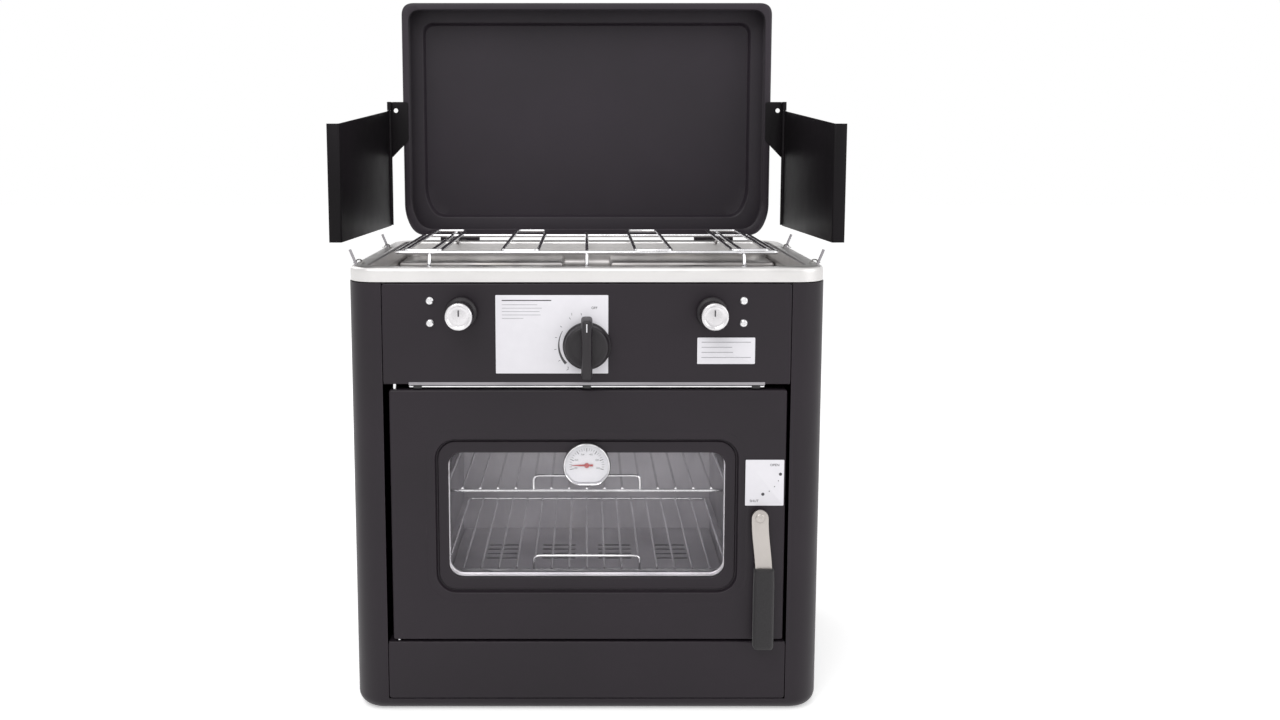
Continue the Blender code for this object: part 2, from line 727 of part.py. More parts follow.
def oven_rack(name, level):
    """Chromed wire rack with a raised handle at its front."""
    side_wire = wire(((-RACK_HALF, RACK_FRONT, level), (RACK_HALF, RACK_FRONT, level),
                      (RACK_HALF, RACK_BACK, level),
                        (-RACK_HALF, RACK_BACK, level)), RACK_WIRE, closed=True)
    rack = place(name, side_wire, chrome(name + "_chrome"))
    pitch = 2 * RACK_HALF / (RACK_BARS + 1)
    for bar in range(1, RACK_BARS + 1):
        x = -RACK_HALF + bar * pitch
        weld(rack, wire(((x, RACK_FRONT, level), (x, RACK_BACK, level)), RACK_WIRE * 4 / 5))
    top = level + RACK_HANDLE_RISE
    handle = ((-RACK_HANDLE_HALF, RACK_FRONT, level), (-RACK_HANDLE_HALF, RACK_FRONT, top),
              (RACK_HANDLE_HALF, RACK_FRONT, top), (RACK_HANDLE_HALF, RACK_FRONT, level))
    weld(rack, wire(rounded_path(handle, RACK_WIRE * 2), RACK_WIRE * 4 / 5))


def oven_seal():
    """Heat-proof rope around the mouth of the oven, between its flange and the door."""
    y0 = DOOR_BACK + FIT
    y1 = LINER_FRONT - FIT
    half = LINER_HALF + FRAME_BOTTOM
    low = LINER_BOTTOM
    ring = plate("y", y0, y1, -half, half, low, LINER_TOP, WINDOW_R / 2)
    seal = place("oven_seal", ring, rubber("seal_rope"))
    cut(seal, plate("y", y0 - OVERRUN, y1 + OVERRUN, -half + SEAL_LAP, half - SEAL_LAP, low + SEAL_LAP,
                    LINER_TOP - SEAL_LAP, WINDOW_R / 3))


def hob_tray():
    """Pressed steel drip tray with a turned-down rim and two burner holes."""
    rim_x = HALF_W - RIM_INSET
    rim_y = DEPTH / 2 - RIM_INSET
    radius = CORNER_R - RIM_INSET
    tray = place("hob_tray", plate("z", BODY_TOP + SEAM, RIM_TOP, -rim_x, rim_x, -rim_y, rim_y, radius),
                 steel("tray_steel"))
    cut(tray, plate("z", BODY_TOP - OVERRUN, RIM_TOP - SHEET, -rim_x + SHEET, rim_x - SHEET, -rim_y + SHEET,
                    rim_y - SHEET, radius - SHEET))
    bowl_x = rim_x - RIM_WIDTH
    bowl_y = rim_y - RIM_WIDTH
    weld(tray, plate("z", TRAY_FLOOR - SHEET, RIM_TOP - SHEET / 2, -bowl_x - SHEET, bowl_x + SHEET,
                     -bowl_y - SHEET, bowl_y + SHEET, TRAY_R + SHEET))
    cut(tray, plate("z", TRAY_FLOOR, RIM_TOP + OVERRUN, -bowl_x, bowl_x, -bowl_y, bowl_y, TRAY_R))
    for side in (-1, 1):
        cut(tray, disc("z", (side * BURNER_X, 0), BURNER_HOLE_R, TRAY_FLOOR - OVERRUN, TRAY_FLOOR + OVERRUN))
        for y in (STAY_FRONT + EYE_LENGTH, STAY_BACK - EYE_LENGTH):
            weld(tray, stay_eye(side, y))
            cut(tray, stay_way(side, y))


def stay_z():
    """Height of the stay wire that lies on the rim."""
    return RIM_TOP + FIT + STAY_WIRE / 2


def stay_eye(side, y):
    """Small bridge on the rim that holds a stay wire down."""
    half = STAY_WIRE / 2 + FIT + EYE_WALL
    x0, x1 = span(side, STAY_X - half, STAY_X + half)
    return block(x0, x1, y - EYE_LENGTH / 2, y + EYE_LENGTH / 2, RIM_TOP - SHEET / 2, stay_z() + half)


def stay_way(side, y):
    """Way through the bridge for the stay wire."""
    half = STAY_WIRE / 2 + FIT
    x0, x1 = span(side, STAY_X - half, STAY_X + half)
    return block(x0, x1, y - EYE_LENGTH, y + EYE_LENGTH, RIM_TOP, stay_z() + half)


def wing_stay(side_name, side):
    """Bent wire that turns on the rim and props the wind panel."""
    rest = (side * STAY_X, stay_z())
    tip = (side * (STAY_X + STAY_RUN), stay_z() + STAY_RISE)
    path = ((tip[0], STAY_FRONT, tip[1]), (rest[0], STAY_FRONT, rest[1]), (rest[0], STAY_BACK, rest[1]),
            (tip[0], STAY_BACK, tip[1]))
    origin = (rest[0], 0, rest[1])
    place("wing_stay_" + side_name, wire(rounded_path(path, STAY_WIRE), STAY_WIRE),
          chrome("stay_chrome_" + side_name), origin)


def burner(side_name, side):
    """Burner casting: slotted head, neck and mixer tube to its valve."""
    middle = (side * BURNER_X, 0)
    base = TRAY_FLOOR + FIT
    top = base + HEAD_HEIGHT
    neck = base - NECK_DROP
    profile = [(0, neck), (NECK_R, neck), (NECK_R, base), (HEAD_R, base), (HEAD_R, top),
               (HEAD_R - PORT_REACH, top), (HEAD_R - PORT_REACH, base), (0, base)]
    cast_alloy = finish("burner_casting_" + side_name, (0.35, 0.35, 0.36), 1, 0.45)
    casting = place("burner_" + side_name, turned(profile, "z", middle), cast_alloy)
    mixer_z = base - MIXER_FLOOR_GAP
    front = valve_back() + JET_GAP
    weld(casting, disc("y", (middle[0], mixer_z), MIXER_R, front, -NECK_R / 2, ROUND_STEPS // 2))
    cut(casting, disc("y", (middle[0], mixer_z), MIXER_R - SHEET, front - OVERRUN, -NECK_R - SHEET,
                      ROUND_STEPS // 2))
    for port in range(PORT_COUNT):
        slot = block(HEAD_R - PORT_REACH - SHEET, HEAD_R + SHEET, -PORT_WIDTH / 2, PORT_WIDTH / 2,
                     top - PORT_DEPTH, top + SHEET)
        turn = Matrix.Translation((*middle, 0)) @ Matrix.Rotation(math.tau * port / PORT_COUNT, 4, "Z")
        bmesh.ops.transform(slot, matrix=turn, verts=slot.verts)
        cut(casting, slot)


def burner_cap(side_name, side):
    """Loose enamelled cap on the burner head."""
    low = TRAY_FLOOR + FIT + HEAD_HEIGHT + FIT
    high = low + CAP_HEIGHT
    fold = CAP_HEIGHT / 2
    profile = [(0, low), (CAP_R, low), (CAP_R, low + fold), (CAP_R - fold, high), (0, high)]
    place("burner_cap_" + side_name, turned(profile, "z", (side * BURNER_X, 0)),
          finish("cap_enamel_" + side_name, (0.03, 0.03, 0.035), 0, 0.35))


def valve_back():
    """Rear face of the gas valves."""
    return FRONT + SHEET + FIT + VALVE_LENGTH


def manifold_z():
    """Height of the gas manifold, between the two rows of knobs."""
    return (KNOB_Z + SIDE_KNOB_Z) / 2


def gas_valve(name, x, z):
    """Brass valve behind the control panel, bored for its stem."""
    front = FRONT + SHEET + FIT
    half = VALVE_WIDTH / 2
    low = min(z - half, manifold_z())
    high = max(z + half, manifold_z())
    valve = place(name, block(x - half, x + half, front, valve_back(), low, high), brass(name + "_brass"))
    cut(valve, disc("y", (x, z), STEM_R + PIN_PLAY, front - OVERRUN, front + VALVE_BACK, ROUND_STEPS // 2))


def gas_manifold():
    """Pipe from the rear inlet to the three valves."""
    y = valve_back() + FIT + MANIFOLD_R
    end = BACK - INLET_TAIL
    z = manifold_z()
    path = ((-BURNER_X - VALVE_WIDTH, y, z), (INLET_X, y, z), (INLET_X, end, z))
    tube = wire(rounded_path(path, 2 * MANIFOLD_R), 2 * MANIFOLD_R, 2)
    place("gas_manifold", tube, brass("manifold_brass"))


def gas_inlet():
    """Threaded stub where the hose joins at the back."""
    start = BACK - INLET_TAIL + FIT
    neck = INLET_R * 2 / 3
    profile = [(0, start), (neck, start), (neck, BACK + FIT), (INLET_R, BACK + FIT),
               (INLET_R, BACK + INLET_REACH / 3), (neck, BACK + INLET_REACH / 3), (neck, BACK + INLET_REACH),
               (INLET_BORE_R, BACK + INLET_REACH), (INLET_BORE_R, BACK + INLET_REACH / 3),
               (0, BACK + INLET_REACH / 3)]
    place("gas_inlet", turned(profile, "y", (INLET_X, manifold_z())), brass("inlet_brass"))


def knob_stem(name, x, z):
    """Valve stem that pushes in and carries a knob."""
    start = FRONT + SHEET + FIT + VALVE_BACK - PUSH_TRAVEL - PLAY
    place(name, disc("y", (x, z), STEM_R, FRONT - KNOB_STAND + FIT, start, ROUND_STEPS // 2),
          steel(name + "_steel"), (x, FRONT, z))


def side_knob(name, x, z):
    """Tall burner knob: a black skirt and body with a dished face."""
    back = FRONT - KNOB_STAND
    face = back - SIDE_KNOB_HEIGHT
    profile = [(0, face + SHEET), (SIDE_KNOB_R * 3 / 5, face + SHEET), (SIDE_KNOB_R * 2 / 3, face),
               (SIDE_KNOB_R * 9 / 10, face), (SIDE_KNOB_R, face + SHEET), (SIDE_KNOB_R, back - SKIRT_HEIGHT),
               (SKIRT_R, back - SKIRT_HEIGHT / 2), (SKIRT_R, back), (0, back)]
    knob = place(name, turned(profile, "y", (x, z)), rubber(name + "_plastic"), (x, FRONT, z))
    cut(knob, block(x - SHEET / 2, x + SHEET / 2, face - SHEET, face + 2 * SHEET, z + SIDE_KNOB_R / 5,
                    z + SIDE_KNOB_R * 3 / 5))


def oven_knob():
    """Black knob with a long grip bar."""
    back = FRONT - KNOB_STAND
    face = back - OVEN_KNOB_HEIGHT
    profile = [(0, face), (OVEN_KNOB_R * 9 / 10, face), (OVEN_KNOB_R, face + SHEET),
               (OVEN_KNOB_R, back), (0, back)]
    disk = turned(profile, "y", (0, KNOB_Z))
    knob = place("oven_knob", disk, rubber("oven_knob_plastic"), (0, FRONT, KNOB_Z))
    half = OVEN_GRIP_WIDTH / 2
    weld(knob, plate("y", face - OVEN_GRIP_HEIGHT, back - SHEET, -half, half, KNOB_Z - OVEN_GRIP_REACH,
                     KNOB_Z + OVEN_GRIP_REACH, half * 3 / 5))


def pan_grate():
    """Chromed wire pan support that stands on the rim."""
    z = GRATE_Z - WIRE / 2
    foot = RIM_TOP + FIT + WIRE / 2
    frame = wire(((-GRATE_HALF, GRATE_FRONT, z), (GRATE_HALF, GRATE_FRONT, z),
                  (GRATE_HALF, GRATE_CROSS_REAR, z), (-GRATE_HALF, GRATE_CROSS_REAR, z)), WIRE, closed=True)
    grate = place("pan_grate", frame, chrome("grate_chrome"))
    knee = WIRE * 5 / 4
    for x in (-GRATE_LEG_X, 0, GRATE_LEG_X):
        weld(grate, wire(((x, -GRATE_FOOT_Y, foot), (x, GRATE_FRONT - knee, foot), (x, GRATE_FRONT, z),
                          (x, GRATE_REAR - knee, z), (x, GRATE_REAR, foot), (x, GRATE_FOOT_Y, foot)), WIRE))
    for side in (-1, 1):
        for share in LOOP_SHARES:
            middle = GRATE_HALF * share
            x0, x1 = span(side, middle - LOOP_WIDTH / 2, middle + LOOP_WIDTH / 2)
            loop = ((x0, GRATE_FRONT, GRATE_Z), (x1, GRATE_FRONT, GRATE_Z), (x1, GRATE_REAR, GRATE_Z),
                    (x0, GRATE_REAR, GRATE_Z))
            weld(grate, wire(loop, WIRE, closed=True))


def door_panel():
    """Pressed outer skin of the door: a shallow pan with a sunk frame round the window."""
    back = DOOR_BACK - SHEET - FIT
    door = place("door_panel", block(DOOR_LEFT, DOOR_RIGHT, DOOR_FRONT, back, DOOR_BOTTOM, DOOR_TOP),
                 black_paint("door_paint"), (PIVOT_X, PIVOT_Y, DOOR_BOTTOM))
    cut(door, block(DOOR_LEFT + SHEET, DOOR_RIGHT - SHEET, DOOR_FRONT + SHEET, back + OVERRUN,
                    DOOR_BOTTOM + SHEET, DOOR_TOP - SHEET))
    floor = DOOR_FRONT + BEZEL_STEP + SHEET
    weld(door, plate("y", DOOR_FRONT + SHEET / 2, floor, -BEZEL_HALF - SHEET, BEZEL_HALF + SHEET,
                     BEZEL_BOTTOM - SHEET, BEZEL_TOP + SHEET, BEZEL_R + SHEET))
    cut(door, plate("y", DOOR_FRONT - OVERRUN, DOOR_FRONT + BEZEL_STEP, -BEZEL_HALF, BEZEL_HALF,
                    BEZEL_BOTTOM, BEZEL_TOP, BEZEL_R))
    cut(door, window("y", DOOR_FRONT - OVERRUN, DOOR_FRONT + OVERRUN, 0))
    cut(door, disc("z", (PIVOT_X, PIVOT_Y), PIN_R + PIN_PLAY, DOOR_BOTTOM - OVERRUN, DOOR_TOP + OVERRUN,
                   ROUND_STEPS // 2))
    cut(door, disc("y", (LATCH_X, LATCH_Z), LATCH_SHAFT_R + PIN_PLAY, DOOR_FRONT - OVERRUN, back + OVERRUN))


def window(axis, low, high, grow):
    """The window's outline as a plate, larger all round by the given length."""
    half = GLASS_HALF + grow
    return plate(axis, low, high, -half, half, GLASS_BOTTOM - grow, GLASS_TOP + grow, WINDOW_R + grow)


def glass_front():
    """Front face of the window glass, behind its seal."""
    return DOOR_FRONT + BEZEL_STEP + SHEET + SEAL_THICK + 2 * FIT


def glass_seal():
    """Flat seal between the sunk frame and the glass."""
    y1 = glass_front() - FIT
    seal = place("glass_seal", window("y", y1 - SEAL_THICK, y1, GLASS_LAP), rubber("glass_seal_rubber"),
                 (PIVOT_X, PIVOT_Y, DOOR_BOTTOM))
    cut(seal, window("y", y1 - OVERRUN, y1 + OVERRUN, GLASS_LAP - SEAL_LAP))


def door_glass():
    """Toughened window glass."""
    y0 = glass_front()
    place("door_glass", window("y", y0, y0 + GLASS_THICK, GLASS_LAP),
          finish("window_glass", (0.75, 0.78, 0.78), 0, 0.05), (PIVOT_X, PIVOT_Y, DOOR_BOTTOM))


def door_liner():
    """Steel inner sheet of the door, with a collar that holds the glass."""
    y0 = DOOR_BACK - SHEET
    liner = place("door_liner", block(DOOR_LEFT + FIT, DOOR_RIGHT - FIT, y0, DOOR_BACK, DOOR_BOTTOM + FIT,
                  DOOR_TOP - FIT), steel("door_liner_steel"), (PIVOT_X, PIVOT_Y, DOOR_BOTTOM))
    weld(liner, window("y", glass_front() + GLASS_THICK + FIT, y0 + SHEET / 2, SEAL_LAP))
    cut(liner, window("y", DOOR_FRONT, DOOR_BACK + OVERRUN, 0))
    cut(liner, disc("y", (LATCH_X, LATCH_Z), LATCH_SHAFT_R + PIN_PLAY, y0 - OVERRUN, DOOR_BACK + OVERRUN))
    cut(liner, disc("z", (PIVOT_X, PIVOT_Y), PIN_R + PIN_PLAY, DOOR_BOTTOM - OVERRUN, DOOR_TOP + OVERRUN,
                    ROUND_STEPS // 2))


def gauge_outline(radius, flat):
    """A round dial cut flat at its bottom: across and height."""
    start = -math.asin(flat / radius)
    sweep = math.pi - 2 * start
    points = []
    for step in range(ROUND_STEPS + 1):
        angle = start + sweep * step / ROUND_STEPS
        points.append((radius * math.cos(angle), GAUGE_Z + radius * math.sin(angle)))
    return points


def thermometer():
    """Case, dial and needle of the door thermometer."""
    back = DOOR_FRONT + BEZEL_STEP - FIT
    face = back - GAUGE_THICK
    hinge = (PIVOT_X, PIVOT_Y, DOOR_BOTTOM)
    case = place("thermometer_case", extrude(gauge_outline(GAUGE_R, GAUGE_FLAT), "y", face, back),
                 chrome("thermometer_chrome"), hinge)
    well = back - SHEET
    cut(case, extrude(gauge_outline(GAUGE_R - GAUGE_LIP, GAUGE_FLAT - GAUGE_LIP), "y", face - OVERRUN, well))
    gap = GAUGE_LIP + FIT
    card = extrude(gauge_outline(GAUGE_R - gap, GAUGE_FLAT - gap), "y", well - FIT - DIAL_THICK, well - FIT)
    place("thermometer_dial", card, finish("dial_white", (0.82, 0.82, 0.80), 0, 0.4), hinge)
    rear = well - FIT - DIAL_THICK - FIT
    hub = disc("y", (0, GAUGE_Z), NEEDLE_HUB_R, rear - 2 * NEEDLE_THICK, rear, ROUND_STEPS // 2)
    red = finish("needle_red", (0.55, 0.05, 0.05), 0, 0.4)
    needle = place("thermometer_needle", hub, red, (0, DOOR_FRONT, GAUGE_Z))
    weld(needle, block(-NEEDLE_LENGTH / 2, NEEDLE_LENGTH / 5, rear - NEEDLE_THICK, rear,
                       GAUGE_Z - NEEDLE_WIDTH / 2, GAUGE_Z + NEEDLE_WIDTH / 2))


def latch_axis():
    """A point on the latch's turning axis."""
    return (LATCH_X, DOOR_FRONT, LATCH_Z)


def latch_lever():
    """Steel lever of the door latch, with the shaft that passes through the door."""
    back = DOOR_FRONT - LATCH_STAND
    half = LATCH_BAR_WIDTH / 2
    outline = []
    for step in range(ARC_STEPS * 2 + 1):
        angle = math.pi * step / (ARC_STEPS * 2)
        outline.append((LATCH_X + half * math.cos(angle), LATCH_Z + half * math.sin(angle)))
    for step in range(ARC_STEPS):
        share = (step + 1) / ARC_STEPS
        sweep = LATCH_SWEEP * (1 - math.cos(math.pi * share)) / 2
        outline.append((LATCH_X - half + sweep, LATCH_Z - LATCH_BAR_DROP * share))
    for step in range(ARC_STEPS, 0, -1):
        share = step / ARC_STEPS
        sweep = LATCH_SWEEP * (1 - math.cos(math.pi * share)) / 2
        outline.append((LATCH_X + half + sweep, LATCH_Z - LATCH_BAR_DROP * share))
    lever = place("latch_lever", extrude(outline, "y", back - LATCH_BAR_THICK, back), steel("lever_steel"),
                  latch_axis())
    middle = (LATCH_X, LATCH_Z)
    weld(lever, disc("y", middle, LATCH_SHAFT_R, back - SHEET, DOOR_BACK + FIT, ROUND_STEPS // 2))
    weld(lever, disc("y", middle, LATCH_BOSS_R, DOOR_FRONT - FIT, back - SHEET, ROUND_STEPS // 2))
    button = back - LATCH_BAR_THICK - SHEET
    weld(lever, disc("y", (LATCH_X, LATCH_Z), LATCH_SHAFT_R, button, back - SHEET, ROUND_STEPS // 2))


def latch_grip():
    """Soft black sleeve over the end of the lever."""
    x = LATCH_X + LATCH_SWEEP
    half = GRIP_WIDTH / 2
    middle = DOOR_FRONT - LATCH_STAND - LATCH_BAR_THICK / 2
    grip = place("latch_grip", plate("z", GRIP_BOTTOM, GRIP_TOP, x - half, x + half, middle - GRIP_THICK / 2,
                 middle + GRIP_THICK / 2, GRIP_CORNER), rubber("grip_silicone"), latch_axis())
    pocket_half = LATCH_BAR_WIDTH / 2 + FIT
    slot = LATCH_BAR_THICK / 2 + FIT
    cut(grip, block(x - pocket_half, x + pocket_half, middle - slot, middle + slot,
                    LATCH_Z - LATCH_BAR_DROP - FIT, GRIP_TOP + OVERRUN))


def latch_tongue():
    """Tongue on the inner end of the latch shaft."""
    y0 = DOOR_BACK + 2 * FIT
    half = TONGUE_WIDTH / 2
    place("latch_tongue", plate("y", y0, y0 + TONGUE_THICK, LATCH_X - half, LATCH_X + TONGUE_LENGTH,
          LATCH_Z - half, LATCH_Z + half, half * 4 / 5), steel("tongue_steel"), latch_axis())


def latch_plate():
    """Blank plate above the latch."""
    blank_plate("latch_plate", LATCH_X, LATCH_Z, LATCH_PLATE_REACH, (PIVOT_X, PIVOT_Y, DOOR_BOTTOM))


def lid_outline(inset):
    """The lid's outline across and up: round top corners, cut bottom corners."""
    half = LID_HALF - inset
    top = LID_TOP - inset
    low = LID_BOTTOM + inset
    radius = LID_R - inset / 3
    points = [(half, low + LID_CHAMFER_Z)]
    for quarter in (0, 1):
        x = (half - radius) * (1 - 2 * quarter)
        for step in range(ARC_STEPS + 1):
            angle = math.pi / 2 * (quarter + step / ARC_STEPS)
            points.append((x + radius * math.cos(angle), top - radius + radius * math.sin(angle)))
    points += [(-half, low + LID_CHAMFER_Z), (-half + LID_CHAMFER_X, low), (half - LID_CHAMFER_X, low)]
    return points


def lid_pan():
    """Pressed lid: a shallow pan with a raised middle and an inward lip."""
    origin = (0, LID_AXIS_Y, LID_AXIS_Z)
    ledge = LID_FACE + LID_DEPTH - LID_STEP_DEPTH
    back = LID_FACE + LID_DEPTH
    lid = place("lid_pan", extrude(lid_outline(0), "y", LID_FACE, ledge), black_paint("lid_paint"), origin)
    weld(lid, lid_middle(ledge - SHEET / 2, back, LID_STEP))
    cut(lid, extrude(lid_outline(SHEET), "y", LID_FACE + SHEET, ledge - SHEET))
    cut(lid, extrude(lid_outline(LID_LIP), "y", LID_FACE - OVERRUN, LID_FACE + SHEET + FIT))
    cut(lid, lid_middle(ledge - 2 * SHEET, back - SHEET, LID_STEP + SHEET))


def lid_middle(low, high, inset):
    """The raised middle of the lid as a plate, smaller all round by the given length."""
    return plate("y", low, high, -LID_HALF + inset, LID_HALF - inset, LID_BOTTOM + inset, LID_TOP - inset,
                 LID_R - (inset - LID_STEP))


def lid_hinge(side_name, side):
    """Body leaf with two knuckles and a pin, and the lid leaf that turns on it."""
    x = side * HINGE_X
    third = HINGE_LENGTH / 6
    y, z = LID_AXIS_Y, LID_AXIS_Z
    leaf_y = BACK + FIT
    body = place("hinge_leaf_" + side_name, block(x - 3 * third, x + 3 * third, leaf_y, leaf_y + SHEET,
                 BODY_TOP - LEAF_HEIGHT, z - KNUCKLE_R / 2), black_paint("leaf_paint_" + side_name))
    cut(body, block(x - third - FIT, x + third + FIT, leaf_y - OVERRUN, leaf_y + OVERRUN,
                    z - 2 * KNUCKLE_R, z + OVERRUN))
    weld(body, disc("x", (y, z), HINGE_PIN_R, x - 2 * third, x + 2 * third, ROUND_STEPS // 2))
    for place_x in (x - 3 * third, x + third + FIT):
        weld(body, disc("x", (y, z), KNUCKLE_R, place_x, place_x + 2 * third - FIT, ROUND_STEPS // 2))
    lid_leaf = place("lid_leaf_" + side_name, disc("x", (y, z), KNUCKLE_R - FIT, x - third, x + third,
                     ROUND_STEPS // 2), black_paint("lid_leaf_paint_" + side_name), (0, y, z))
    top = LID_BOTTOM - FIT
    inside = LID_FACE + LID_DEPTH / 2
    weld(lid_leaf, block(x - third, x + third, y + KNUCKLE_R / 2, inside, top - SHEET, top))
    bore = HINGE_PIN_R + PIN_PLAY / 2
    cut(lid_leaf, disc("x", (y, z), bore, x - 2 * third, x + 2 * third, ROUND_STEPS // 2))


def wing_axis(side):
    """Foot of the upright axis on which a wind panel folds."""
    return (side * WING_X, WING_AXIS_Y, WING_BOTTOM)


def wing_bracket(side_name, side):
    """Ear on the lid that carries a wind panel, with its hinge pin."""
    y1 = LID_FACE - FIT
    y0 = y1 - WING_SHEET
    outer = WING_X - WING_KNUCKLE_R / 3
    low = EAR_TOP - EAR_HEIGHT
    outline = [(side * (WING_X - EAR_INNER), EAR_TOP), (side * outer, EAR_TOP), (side * outer, low),
               (side * (WING_X - EAR_INNER + EAR_CHAMFER / 2), low + EAR_CHAMFER),
               (side * (WING_X - EAR_INNER), low + EAR_CHAMFER * 3 / 2)]
    bracket = place("wing_bracket_" + side_name, extrude(outline, "y", y0, y1),
                    black_paint("bracket_paint_" + side_name), (0, LID_AXIS_Y, LID_AXIS_Z))
    middle = (side * WING_X, WING_AXIS_Y)
    collar_low = EAR_TOP - COLLAR_HEIGHT
    weld(bracket, disc("z", middle, WING_KNUCKLE_R, collar_low, EAR_TOP, ROUND_STEPS // 2))
    bridge_x = span(side, WING_X - WING_KNUCKLE_R, WING_X - WING_KNUCKLE_R / 2)
    weld(bracket, block(*bridge_x, WING_AXIS_Y, y1 - WING_SHEET / 2, collar_low, EAR_TOP))
    weld(bracket, disc("z", middle, WING_PIN_R, low, collar_low + SHEET, ROUND_STEPS // 2))
    hole = (side * (WING_X - EAR_INNER / 3), EAR_TOP - COLLAR_HEIGHT)
    cut(bracket, disc("y", hole, WING_KNUCKLE_R, y0 - SHEET, y1 + SHEET, ROUND_STEPS // 2))


def wind_panel(side_name, side):
    """Folded side wind panel with its hinge sleeve and a stiffening flange at its front."""
    x, y, low = wing_axis(side)
    front = y - WING_REACH
    rear = y - WING_KNUCKLE_R / 2
    sheet = [(rear, low), (front, low), (front, WING_TOP_FRONT), (rear, WING_TOP_REAR)]
    splay = side * math.asin(WING_SPLAY / WING_REACH)
    bm = swing(extrude(sheet, "x", x - WING_SHEET / 2, x + WING_SHEET / 2), (x, y, low), splay)
    wing = place("wind_panel_" + side_name, bm, black_paint("wing_paint_" + side_name), (x, y, low))
    fold = front + WING_SHEET / 4
    flange_x = span(side, WING_X, WING_X + WING_FLANGE)
    flange = block(*flange_x, fold, fold + WING_SHEET, low + WING_SHEET, WING_TOP_FRONT - WING_SHEET)
    weld(wing, swing(flange, (x, y, low), splay))
    sleeve_top = EAR_TOP - COLLAR_HEIGHT - FIT
    sleeve_low = low + WING_SHEET
    bore = WING_PIN_R + FIT
    ring = turned([(bore, sleeve_low), (WING_KNUCKLE_R, sleeve_low), (WING_KNUCKLE_R, sleeve_top),
                   (bore, sleeve_top), (bore, sleeve_low)], "z", (x, y), ROUND_STEPS // 2)
    weld(wing, ring)


def build():
    """Make every piece of the oven."""
    clear_scene()
    cabinet_shell()
    control_panel()
    panel_rod()
    lower_rail()
    panel_screws()
    door_pins()
    front_plates()
    oven_liner()
    oven_burner()
    oven_feed_pipe()
    oven_floor()
    both_sides(rack_runner)
    for count, level in enumerate(RACK_LEVELS, 1):
        oven_rack("oven_rack_%d" % count, level)
    oven_seal()
    hob_tray()
    both_sides(burner)
    both_sides(burner_cap)
    gas_manifold()
    gas_inlet()
    for label, (x, z) in zip(("left", "oven", "right"), control_places()):
        gas_valve("gas_valve_" + label, x, z)
        knob_stem("knob_stem_" + label, x, z)
        if label != "oven":
            side_knob("burner_knob_" + label, x, z)
    oven_knob()
    pan_grate()
    door_panel()
    glass_seal()
    door_glass()
    door_liner()
    thermometer()
    latch_lever()
    latch_grip()
    latch_tongue()
    latch_plate()
    lid_pan()
    both_sides(lid_hinge)
    both_sides(wing_bracket)
    both_sides(wind_panel)
    both_sides(wing_stay)


build()
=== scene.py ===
"""Camp oven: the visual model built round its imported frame. Metres, +Z up, front towards -Y."""

import logging
import math
from collections.abc import Iterable, Sequence
from dataclasses import dataclass
from enum import Enum

import bmesh
import bpy
from bmesh.types import BMesh
from bpy.types import Material, Node, NodeTree, Object
from mathutils import Matrix, Vector


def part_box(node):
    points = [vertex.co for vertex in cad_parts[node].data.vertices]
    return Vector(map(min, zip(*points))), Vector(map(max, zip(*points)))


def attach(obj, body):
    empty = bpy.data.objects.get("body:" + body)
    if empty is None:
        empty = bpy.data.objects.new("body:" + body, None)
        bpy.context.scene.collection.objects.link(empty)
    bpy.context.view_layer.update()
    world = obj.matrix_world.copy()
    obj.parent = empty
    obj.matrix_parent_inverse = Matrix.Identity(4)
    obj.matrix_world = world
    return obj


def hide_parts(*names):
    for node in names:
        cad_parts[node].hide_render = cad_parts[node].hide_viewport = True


log = logging.getLogger("camp_oven")
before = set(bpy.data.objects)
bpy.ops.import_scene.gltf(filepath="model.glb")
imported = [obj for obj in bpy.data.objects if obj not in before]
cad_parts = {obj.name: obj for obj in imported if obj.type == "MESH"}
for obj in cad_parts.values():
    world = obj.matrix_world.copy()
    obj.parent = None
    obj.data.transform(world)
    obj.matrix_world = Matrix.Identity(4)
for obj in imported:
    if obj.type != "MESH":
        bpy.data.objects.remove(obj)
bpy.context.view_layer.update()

MM = 0.001
Point = tuple[float, float, float]
Flat = tuple[float, float]
Profile = Sequence[Flat]
WING_AXIS: Flat = (230.6 * MM, 142 * MM)  # where the wind panels' pins stand, across and deep


class Slot(Enum):
    """The record's material slots; each piece is given one, which is not used."""

    PAINT = "black_paint"
    STAINLESS = "stainless"
    CHROME = "chrome_wire"
    CASTING = "cast_alloy"
    ENAMEL = "cap_enamel"
    PLASTIC = "black_plastic"
    SILICONE = "silicone"
    ROPE = "seal_rope"
    GLASS = "glass"
    BRASS = "brass"
    PLATE = "white_plate"
    RED = "needle_red"


def linear(code: str) -> tuple[float, float, float, float]:
    """Turn an sRGB hex code to a linear colour.

    Args:
        code: Six hex digits, such as "3c373b".

    Returns:
        Red, green, blue and alpha.
    """
    parts = [int(code[i:i + 2], 16) / 255 for i in (0, 2, 4)]
    red, green, blue = (p / 12.92 if p <= 0.04045 else ((p + 0.055) / 1.055) ** 2.4 for p in parts)
    return (red, green, blue, 1.0)


def add(tree: NodeTree, kind: str, settings: dict[str, object] | None = None,
        links: dict[str | int, object] | None = None) -> Node:
    """Add a shader node.

    Args:
        tree: The material's node tree.
        kind: The node's type, such as "ShaderNodeTexNoise".
        settings: The node's own properties and its inputs' values, by name or input number.
        links: Outputs to link, by the input's name or number.

    Returns:
        The new node.
    """
    node = tree.nodes.new(kind)
    for name, value in (settings or {}).items():
        if isinstance(name, str) and hasattr(node, name):
            setattr(node, name, value)
        else:
            node.inputs[name].default_value = value
    for name, source in (links or {}).items():
        tree.links.new(source, node.inputs[name])
    return node


